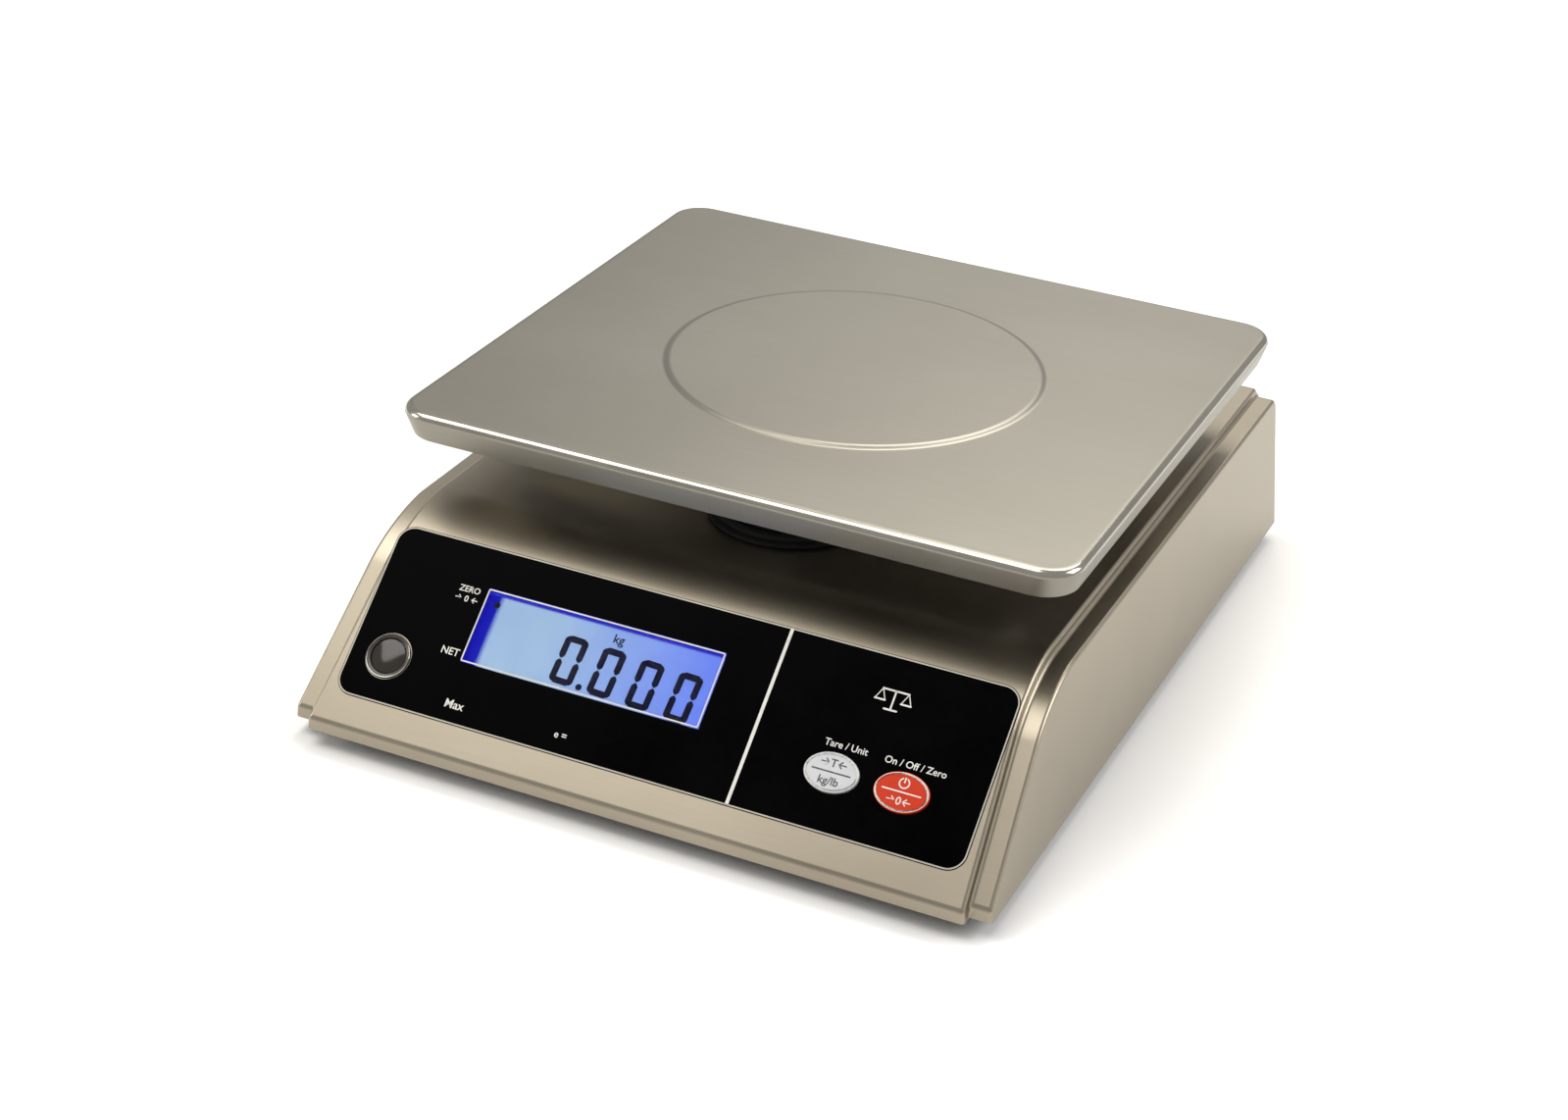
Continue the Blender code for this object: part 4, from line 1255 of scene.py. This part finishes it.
    def power_sign(self, x: float, up: float, height: float) -> bpy.types.Object:
        """The usual open circle with a bar."""
        ring = disc("power_ring", (1.75 * MM,), height, height + self.ink, (x, up), sides=40)
        combine(
            ring, Joining.CUT,
            disc("inside", (1.3 * MM,), height - MM, height + MM, (x, up), sides=40),
        )
        combine(
            ring, Joining.CUT,
            block("gap", (1.2 * MM, 2 * MM, 2 * MM), (x, up + 1.6 * MM, height)),
        )
        return merged(ring, self.strip("bar", 1.9 * MM, 0.45 * MM, (x, up + 0.9 * MM), height, 90))

    def make_level(self) -> None:
        """The round level: chrome ring, tinted lens, vial and the ring marked in it."""
        x, up = self.level
        low, top = self.proud - self.thickness, self.proud
        outer, inner = self.level_radius, self.level_radius - self.level_ring
        place = (x, up, 0)
        ring = turned(
            "level_ring",
            [
                (inner, low), (outer, low), (outer, top + 0.2 * MM),
                (outer - 0.12 * MM, top + 0.42 * MM),
                (outer - 0.25 * MM, top + 0.58 * MM), (outer - 0.38 * MM, top + 0.55 * MM),
                (outer - 0.5 * MM, top + 0.3 * MM), (inner, top + 0.1 * MM), (inner, low),
            ],
            place, 72,
        )
        ring.data.materials.append(CHROME.build())
        ring.data.materials.append(VIAL_PLASTIC.build())
        with editing(ring):
            pick(
                Element.FACE,
                lambda at, _: math.hypot(at.x - x, at.y - up) < outer - 0.5 * MM,
            )
            ring.active_material_index = 1
            bpy.ops.object.material_slot_assign()
        dress(on_face(ring), CHROME, "base", ["level_bezel"])
        lens_r = inner - self.gap
        lens = turned(
            "level_glass",
            [
                (0, low), (lens_r, low), (lens_r, top - 0.25 * MM), (lens_r * 0.97, top - 0.1 * MM),
                (lens_r * 0.7, top + 0.05 * MM), (lens_r * 0.35, top + 0.1 * MM),
                (0, top + 0.12 * MM),
            ],
            place, 64,
        )
        dress(on_face(lens), AMBER_ACRYLIC, "base", ["level_lens"])
        top = low - self.gap
        vial = turned(
            "level_cup",
            [
                (0, top - self.level_depth), (inner, top - self.level_depth), (inner, top),
                (inner - 1.2 * MM, top), (inner - 1.2 * MM, top - self.level_depth + 1.5 * MM),
                (0, top - self.level_depth + 1.5 * MM),
            ],
            place, 48,
        )
        mark = turned(
            "level_mark",
            [
                (1.9 * MM, top - 0.5 * MM), (2.2 * MM, top - 0.5 * MM),
                (2.2 * MM, top - 0.3 * MM), (1.9 * MM, top - 0.3 * MM), (1.9 * MM, top - 0.5 * MM),
            ],
            place, 40,
        )
        dress(on_face(vial), VIAL_PLASTIC, "base", ["level_vial"])
        dress(on_face(mark), DARK_INK, "base")

    def make(self) -> None:
        """Makes everything on the face."""
        self.make_film()
        self.make_legends()
        self.make_display()
        self.make_keys()
        self.make_level()


def settle_copy(obj: bpy.types.Object, stretch: float, turn: float = 0.0) -> bpy.types.Object:
    """A copy with its own mesh, stretched along X and turned about Z.

    Args:
        obj: The piece to copy.
        stretch: How many times longer it gets.
        turn: How far it turns, in degrees.

    Returns:
        The copy, at the origin.
    """
    take(obj)
    bpy.ops.object.duplicate(linked=False)
    twin = bpy.context.object
    twin.scale.x = stretch
    twin.rotation_euler.z = math.radians(turn)
    return settle(twin)


@dataclass
class Housing:
    """The pressed upper shell, with the openings that the other pieces pass through."""

    wedge: Wedge
    face: ControlFace
    neck: tuple[float, float] = (-32.6 * MM, 22.0 * MM)
    socket: tuple[float, float, float] = (68.0 * MM, 22.0 * MM, 5.3 * MM)

    def make(self) -> None:
        """Makes the shell."""
        w = self.wedge
        shell = w.solid("housing_shell", 0, 0, w.front_y, w.base_z)
        raised = w.solid("raised", w.margin, w.raise_by, w.raised_front_y, w.base_z)
        combine(shell, Joining.ADD, raised)
        tidy(shell)
        w.soften(shell, w.edge)
        # no two planes of the hollows coincide, or the second cut leaves a stray face
        below, apart = w.base_z - 4 * MM, 0.05 * MM
        inset, offset = w.margin + w.wall, w.raise_by - w.wall
        front_y, back_inset = w.raised_front_y + w.wall, w.wall + apart
        hollows = [
            w.solid("hollow", w.wall, -w.wall, w.front_y + w.wall, below),
            w.solid("raised_hollow", inset, offset, front_y, below - 1 * MM, back_inset),
        ]
        combine(shell, Joining.CUT, *hollows)
        recess = w.skin("recess", -0.9 * MM, 5 * MM, self.face.width + 10 * MM)
        combine(recess, Joining.KEEP_COMMON, self.face.outline("recess_form", self.face.gap))
        combine(shell, Joining.CUT, recess)
        combine(shell, Joining.CUT, *self.face.cutters(0.4 * MM, self.face.lcd_frame))
        neck = disc("neck_hole", (self.neck[1],), 45 * MM, 70 * MM, (0, self.neck[0]))
        x, z, radius = self.socket
        socket = disc("socket_hole", (radius,), -20 * MM, 20 * MM, sides=32)
        backwards = Matrix.Rotation(math.pi / 2, 4, "X")
        socket.matrix_world = Matrix.Translation((x, w.back_y, z)) @ backwards
        combine(shell, Joining.CUT, neck, settle(socket))
        tidy(shell)
        dress(shell, SATIN_NICKEL, "base", ["top_housing"], smooth=28)


@dataclass
class Pan:
    """The removable pan: a folded sheet with a raised round middle."""

    width: float = 230.0 * MM
    depth: float = 212.0 * MM
    top: float = 92.0 * MM
    centre_y: float = 16.4 * MM
    skirt: float = 9.6 * MM
    sheet: float = 1.2 * MM
    corner: float = 12.0 * MM
    edge: float = 2.5 * MM
    taper: float = 2.0 * MM
    step_radius: float = 62.5 * MM
    ring: tuple[tuple[float, float], ...] = (
        (1.6, 0.0), (1.2, 0.06), (0.6, 0.3), (0.1, 0.6), (-0.5, 0.78), (-1.2, 0.8)
    )

    def make(self) -> None:
        """Makes the pan from a block whose underside is left open."""
        low = self.top - self.skirt
        pan = block(
            "pan_sheet",
            (self.width, self.depth, self.skirt),
            (0, self.centre_y, (self.top + low) / 2),
            self.corner,
            segments=12,
        )
        middle = (0, self.centre_y, self.top)
        with editing(pan):
            pick(Element.FACE, lambda at, normal: normal.z < -0.9)
            bpy.ops.mesh.delete(type="FACE")
            pick(Element.EDGE, lambda at, way: at.z > self.top - 0.01 * MM)
            bevel(self.edge, 6)
            pick(Element.VERTEX, lambda at, _: at.z < low + 0.1 * MM)
            bpy.ops.transform.resize(
                value=(1 - 2 * self.taper / self.width, 1 - 2 * self.taper / self.depth, 1),
                center_override=(0, self.centre_y, low),
            )
            pick(Element.FACE, lambda at, normal: normal.z > 0.999)
            bpy.ops.mesh.inset(thickness=0.6 * MM)
            bpy.ops.mesh.delete(type="FACE")
            bpy.ops.mesh.select_all(action="DESELECT")
            rim = self.step_radius + 2.0 * MM
            bpy.ops.mesh.primitive_circle_add(vertices=144, radius=rim, location=middle)
            pick(
                Element.EDGE,
                lambda at, way: abs(at.z - self.top) < 0.01 * MM,
            )
            mesh = bmesh.from_edit_mesh(pan.data)
            for part in mesh.edges:
                part.select = part.select and len(part.link_faces) < 2
            bmesh.update_edit_mesh(pan.data)
            bpy.ops.mesh.bridge_edge_loops()
            for radius, rise in self.ring:
                reach = self.step_radius + radius * MM
                pick(
                    Element.EDGE,
                    lambda at, way: math.hypot(at.x, at.y - self.centre_y) < rim + 0.1 * MM,
                )
                mesh = bmesh.from_edit_mesh(pan.data)
                for part in mesh.edges:
                    part.select = part.select and part.is_boundary
                bmesh.update_edit_mesh(pan.data)
                bpy.ops.mesh.extrude_edges_move()
                height = self.top + rise * MM
                now = next(v.co for v in bmesh.from_edit_mesh(pan.data).verts if v.select)
                scale = reach / math.hypot(now.x, now.y - self.centre_y)
                lift = height - now.z
                bpy.ops.transform.resize(value=(scale, scale, 1), center_override=middle)
                bpy.ops.transform.translate(value=(0, 0, lift))
                rim = reach
            bpy.ops.mesh.edge_face_add()
            bpy.ops.mesh.select_all(action="SELECT")
            bpy.ops.mesh.normals_make_consistent(inside=False)
        if max(pan.data.polygons, key=lambda face: face.area).normal.z < 0:
            pan.data.flip_normals()
        change(pan, "SOLIDIFY", thickness=self.sheet, offset=-1.0, use_even_offset=True)
        pan.data.materials.clear()
        pan.data.materials.append(SATIN_STAINLESS.build())
        pan.data.materials.append(POLISHED_STEEL_WITH_PAINTED_HIGHLIGHT.build())
        # the rounded edges take the polished finish, whose lighter colour is a painted highlight
        with editing(pan):
            pick(
                Element.FACE,
                lambda at, normal: 0.15 < normal.z < 0.97 and at.z > low - 1 * MM
                and math.hypot(at.x, at.y - self.centre_y) > self.step_radius + 5 * MM,
            )
            pan.active_material_index = 1
            bpy.ops.object.material_slot_assign()
        dress(pan, SATIN_STAINLESS, "pan", ["platter"], smooth=40)


@dataclass
class Carrier:
    """The cast frame that holds the pan, its rubber pads and the seal round its neck."""

    centre_y: float = 16.4 * MM
    pad_x: float = 80.0 * MM
    pad_y: float = 70.0 * MM
    arm_z: float = 68.5 * MM
    arm: tuple[float, float] = (18.0 * MM, 8.0 * MM)
    post_radius: float = 8.0 * MM
    post_top: float = 88.0 * MM
    beam: float = 28.0 * MM
    neck_y: float = -32.6 * MM
    neck_radius: float = 17.0 * MM
    neck_z: float = 47.3 * MM
    bolts: tuple[float, ...] = (-35.6 * MM, -21.6 * MM)

    def make(self) -> None:
        """Makes the frame, the pads and the seal."""
        wide, thick = self.arm
        mid_z = self.arm_z + thick / 2
        frame = block(
            "pan_frame", (self.beam, 2 * self.pad_y, thick), (0, self.centre_y, mid_z), 0, 0
        )
        parts = []
        for side in (-1, 1):
            y = self.centre_y + side * self.pad_y
            length = 2 * (self.pad_x + self.post_radius)
            parts.append(block("arm", (length, wide, thick - 0.4 * MM), (0, y, mid_z), 6 * MM))
            for across in (-1, 1):
                place = (across * self.pad_x, y)
                low = self.arm_z + 1 * MM
                parts.append(disc("post", (self.post_radius,), low, self.post_top, place, 0, 40))
        high, place = self.arm_z + 2 * MM, (0, self.neck_y)
        parts.append(disc("neck", (self.neck_radius,), self.neck_z, high, place))
        combine(frame, Joining.ADD, *parts)
        for y in self.bolts:
            combine(
                frame,
                Joining.CUT,
                disc("hole", (3.3 * MM,), 40 * MM, 80 * MM, (0, y), sides=32),
                disc("seat", (5.2 * MM,), self.arm_z + thick - 4.3 * MM, 80 * MM, (0, y), sides=32),
            )
        tidy(frame)
        with editing(frame):
            pick(Element.EDGE, lambda at, way: True, sharp=40)
            bevel(0.6 * MM, 3)
        dress(frame, CAST_ALUMINIUM, "weighing_carrier", ["platter_carrier"])
        pad = turned(
            "pad",
            [
                (0, 0.0), (6.5 * MM, 0.0), (6.9 * MM, 0.25 * MM), (7.0 * MM, 0.6 * MM),
                (6.7 * MM, 1.4 * MM),
                (6.2 * MM, 2.1 * MM), (5.6 * MM, 2.2 * MM), (4.4 * MM, 2.0 * MM),
                (3.0 * MM, 1.3 * MM), (0, 1.2 * MM),
            ],
            (0, 0, 88.3 * MM), 40,
        )
        for corner, sx, sy in CORNERS:
            shift = (sx * self.pad_x, self.centre_y + sy * self.pad_y, 0)
            node = f"platter_pad_{corner}"
            dress(
                copy_to(pad, f"pan_pad_{corner}", shift), RUBBER, "weighing_carrier",
                [node],
            )
        bpy.data.objects.remove(pad, do_unlink=True)
        seal = turned(
            "neck_bellows",
            [
                (18.0 * MM, 0.0), (27.0 * MM, 0.0), (27.0 * MM, 1.0 * MM), (26.2 * MM, 1.4 * MM),
                (25.0 * MM, 1.5 * MM), (24.4 * MM, 2.6 * MM), (23.4 * MM, 3.0 * MM),
                (22.4 * MM, 2.6 * MM),
                (21.8 * MM, 1.7 * MM), (21.0 * MM, 1.7 * MM), (20.4 * MM, 2.6 * MM),
                (19.4 * MM, 3.0 * MM),
                (18.3 * MM, 2.8 * MM), (18.0 * MM, 2.3 * MM), (18.0 * MM, 0.0),
            ],
            (0, self.neck_y, 59.8 * MM), 72,
        )
        dress(seal, RUBBER, "base", ["neck_seal"])


CORNERS = (
    ("front_left", -1, -1), ("front_right", 1, -1), ("back_left", -1, 1), ("back_right", 1, 1)
)


@dataclass
class Underside:
    """The levelling feet, the housing's screws and the battery door under the tray."""

    foot: tuple[float, float] = (98.0 * MM, 121.0 * MM)
    foot_radius: float = 12.0 * MM
    foot_height: float = 4.0 * MM
    screw: tuple[float, float] = (103.0 * MM, 92.0 * MM)
    rim_z: float = 5.4 * MM

    def make_feet(self) -> None:
        """Makes the four ribbed rubber feet and their threaded studs."""
        r, h = self.foot_radius, self.foot_height
        pad = turned(
            "foot",
            [
                (6.3 * MM, 1.6 * MM), (6.3 * MM, h), (r - 1.1 * MM, h),
                (r - 0.7 * MM, h - 0.3 * MM),
                (r - 0.4 * MM, h - 0.9 * MM), (r - 0.4 * MM, 1.0 * MM), (r - 0.8 * MM, 0.3 * MM),
                (r - 1.4 * MM, 0.0), (r - 4.0 * MM, 0.0), (r - 4.4 * MM, 0.5 * MM),
                (r - 6.4 * MM, 0.5 * MM),
                (r - 6.8 * MM, 0.0), (0, 0), (0, 1.6 * MM), (6.3 * MM, 1.6 * MM),
            ],
            (0, 0, 0), 48,
        )
        with editing(pad):
            pick(
                Element.FACE,
                lambda at, normal: math.hypot(at.x, at.y) > r - 0.7 * MM
                and 0.9 * MM < at.z < h - 0.8 * MM
                and int(round(math.degrees(math.atan2(at.y, at.x)) / 7.5 - 0.5)) % 2 == 0,
            )
            bpy.ops.mesh.extrude_region_shrink_fatten(
                TRANSFORM_OT_shrink_fatten={"value": 0.4 * MM}
            )
        stud = turned(
            "stud",
            [
                (0, 1.9 * MM), (6.0 * MM, 1.9 * MM), (6.0 * MM, 3.4 * MM), (5.7 * MM, 3.7 * MM),
                (2.5 * MM, 3.7 * MM),
            ]
            + [
                (2.95 * MM if i % 2 else 2.5 * MM, (4.0 + 0.5 * i) * MM)
                for i in range(21)
            ]
            + [(2.0 * MM, 15.2 * MM), (0, 15.2 * MM)],
            (0, 0, 0), 32,
        )
        for corner, sx, sy in CORNERS:
            shift = (sx * self.foot[0], sy * self.foot[1], 0)
            node = f"foot_pad_{corner}"
            dress(copy_to(pad, f"foot_{corner}", shift), RUBBER, node, [node])
            node = f"foot_stud_{corner}"
            dress(copy_to(stud, f"stud_{corner}", shift), ZINC, node, [node])
        for tool in (pad, stud):
            bpy.data.objects.remove(tool, do_unlink=True)

    def make_screws(self) -> None:
        """Makes the four cross-head screws."""
        z = self.rim_z
        screw = turned(
            "screw",
            [
                (0, z), (2.6 * MM, z), (3.3 * MM, z + 0.4 * MM), (3.5 * MM, z + 1.0 * MM),
                (3.5 * MM, z + 1.9 * MM),
                (1.6 * MM, z + 1.9 * MM), (1.6 * MM, z + 14.6 * MM), (0, z + 15.9 * MM),
            ],
            (0, 0, 0), 32,
        )
        for turn in (0, 90):
            slot = block("slot", (3.6 * MM, 0.8 * MM, 2.2 * MM), (0, 0, z))
            slot.rotation_euler.z = math.radians(turn)
            combine(screw, Joining.CUT, settle(slot))
        for corner, sx, sy in CORNERS:
            shift = (sx * self.screw[0], sy * self.screw[1], 0)
            dress(
                copy_to(screw, f"case_screw_{corner}", shift), ZINC, "base",
                [f"housing_screw_{corner}"],
            )
        bpy.data.objects.remove(screw, do_unlink=True)

    def make_door(self) -> None:
        """Makes the battery door with its finger ridges."""
        low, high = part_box("battery_door")
        size = (high.x - low.x, high.y - low.y, 1.5 * MM)
        centre = ((low.x + high.x) / 2, (low.y + high.y) / 2, high.z - 0.75 * MM)
        door = block("battery_cover", size, centre, 1.0 * MM, 0.3 * MM)
        ridges = []
        for i in range(3):
            y = centre[1] - size[1] / 2 + (11 + 3 * i) * MM
            middle = (centre[0], y, high.z - 1.6 * MM)
            form = (20 * MM, 1.2 * MM, 1.2 * MM)
            ridges.append(block("ridge", form, middle, 0.55 * MM, 0.3 * MM))
        combine(door, Joining.ADD, *ridges)
        dress(tidy(door), BLACK_ABS, "battery_door", ["battery_door"])

    def make(self) -> None:
        """Makes everything under the scale."""
        self.make_feet()
        self.make_screws()
        self.make_door()


@dataclass
class Studio:
    """A pale floor, soft lights and the camera."""

    camera_place: tuple[float, float, float] = (0.32883, -0.79872, 0.48572)
    azimuth: float = 23.281
    elevation: float = 28.061
    roll: float = 3.114
    lens: float = 66.17
    lights: tuple[tuple[tuple[float, float, float], float, float, str], ...] = (
        ((-0.8, -0.3, 1.9), 1.3, 22.0, "#FFFDF8"),
        ((-1.5, -0.7, 0.65), 0.5, 7.0, "#FFFBF0"),
        ((1.5, 0.6, 1.2), 1.0, 17.0, "#FFFFFF"),
        ((-0.2, 2.2, 2.8), 1.9, 58.0, "#FFFCF5"),
    )
    sky: float = 0.5

    def aim(self) -> Matrix:
        """The camera's turn."""
        az, el, roll = (math.radians(v) for v in (self.azimuth, self.elevation, self.roll))
        back = Vector((math.sin(az) * math.cos(el), -math.cos(az) * math.cos(el), math.sin(el)))
        right = Vector((math.cos(az), math.sin(az), 0))
        above = back.cross(right)
        x = right * math.cos(roll) + above * math.sin(roll)
        y = above * math.cos(roll) - right * math.sin(roll)
        return Matrix((x, y, back)).transposed()

    def make(self) -> None:
        """Makes the floor, the lights and the camera."""
        bpy.ops.object.select_all(action="DESELECT")
        bpy.ops.mesh.primitive_plane_add(size=8, location=(0, 0, -0.0002))
        floor = settle(bpy.context.object, "studio_floor")
        floor.data.materials.append(PALE_FLOOR.build())
        for i, (place, size, power, colour) in enumerate(self.lights):
            bpy.ops.object.light_add(type="AREA", location=place)
            light = bpy.context.object
            light.name = f"softbox_{i + 1}"
            light.data.shape = "SQUARE"
            light.data.size = size
            light.data.energy = power
            light.data.color = linear(colour)[:3]
            towards = Vector((0, 0, 0.04)) - Vector(place)
            light.rotation_euler = towards.to_track_quat("-Z", "Y").to_euler()
        world = bpy.data.worlds.new("studio")
        world.use_nodes = True
        world.node_tree.nodes.clear()
        glow = {"Color": linear("#FFFFFF"), "Strength": self.sky}
        sky = add_node(world.node_tree, "ShaderNodeBackground", glow)
        add_node(world.node_tree, "ShaderNodeOutputWorld", links={"Surface": sky.outputs[0]})
        bpy.context.scene.world = world
        bpy.context.scene.view_settings.view_transform = "Standard"
        data = bpy.data.cameras.new("camera")
        data.lens, data.sensor_width = self.lens, 36.0
        data.dof.use_dof = False
        camera = bpy.data.objects.new("camera", data)
        bpy.context.scene.collection.objects.link(camera)
        camera.matrix_world = Matrix.Translation(self.camera_place) @ self.aim().to_4x4()
        bpy.context.scene.camera = camera


KEPT = (
    (("base_tray", "dc_socket", "tare_switch", "power_switch"), BLACK_ABS),
    (("display_board", "main_board"), SOLDER_MASK),
    (("battery_pack",), SHRINK_WRAP),
    (("load_cell",), MILLED_ALUMINIUM),
    (
        (
            "load_cell_lower_spacer", "load_cell_upper_spacer", "lower_bolt_1", "lower_bolt_2",
            "upper_bolt_1", "upper_bolt_2", "overload_stop_screw",
        ),
        ZINC,
    ),
)


def main() -> None:
    """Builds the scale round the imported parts."""
    logging.basicConfig(level=logging.INFO, format="%(name)s: %(message)s")
    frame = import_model()
    NODES.update(frame["nodes"])
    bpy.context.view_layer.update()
    Studio().make()
    wedge = Wedge()
    face = ControlFace(wedge)
    Pan().make()
    Housing(wedge, face).make()
    face.make()
    Carrier().make()
    Underside().make()
    for nodes, finish in KEPT:
        for node in nodes:
            finish_node(node, finish)


if __name__ == "__main__":
    main()
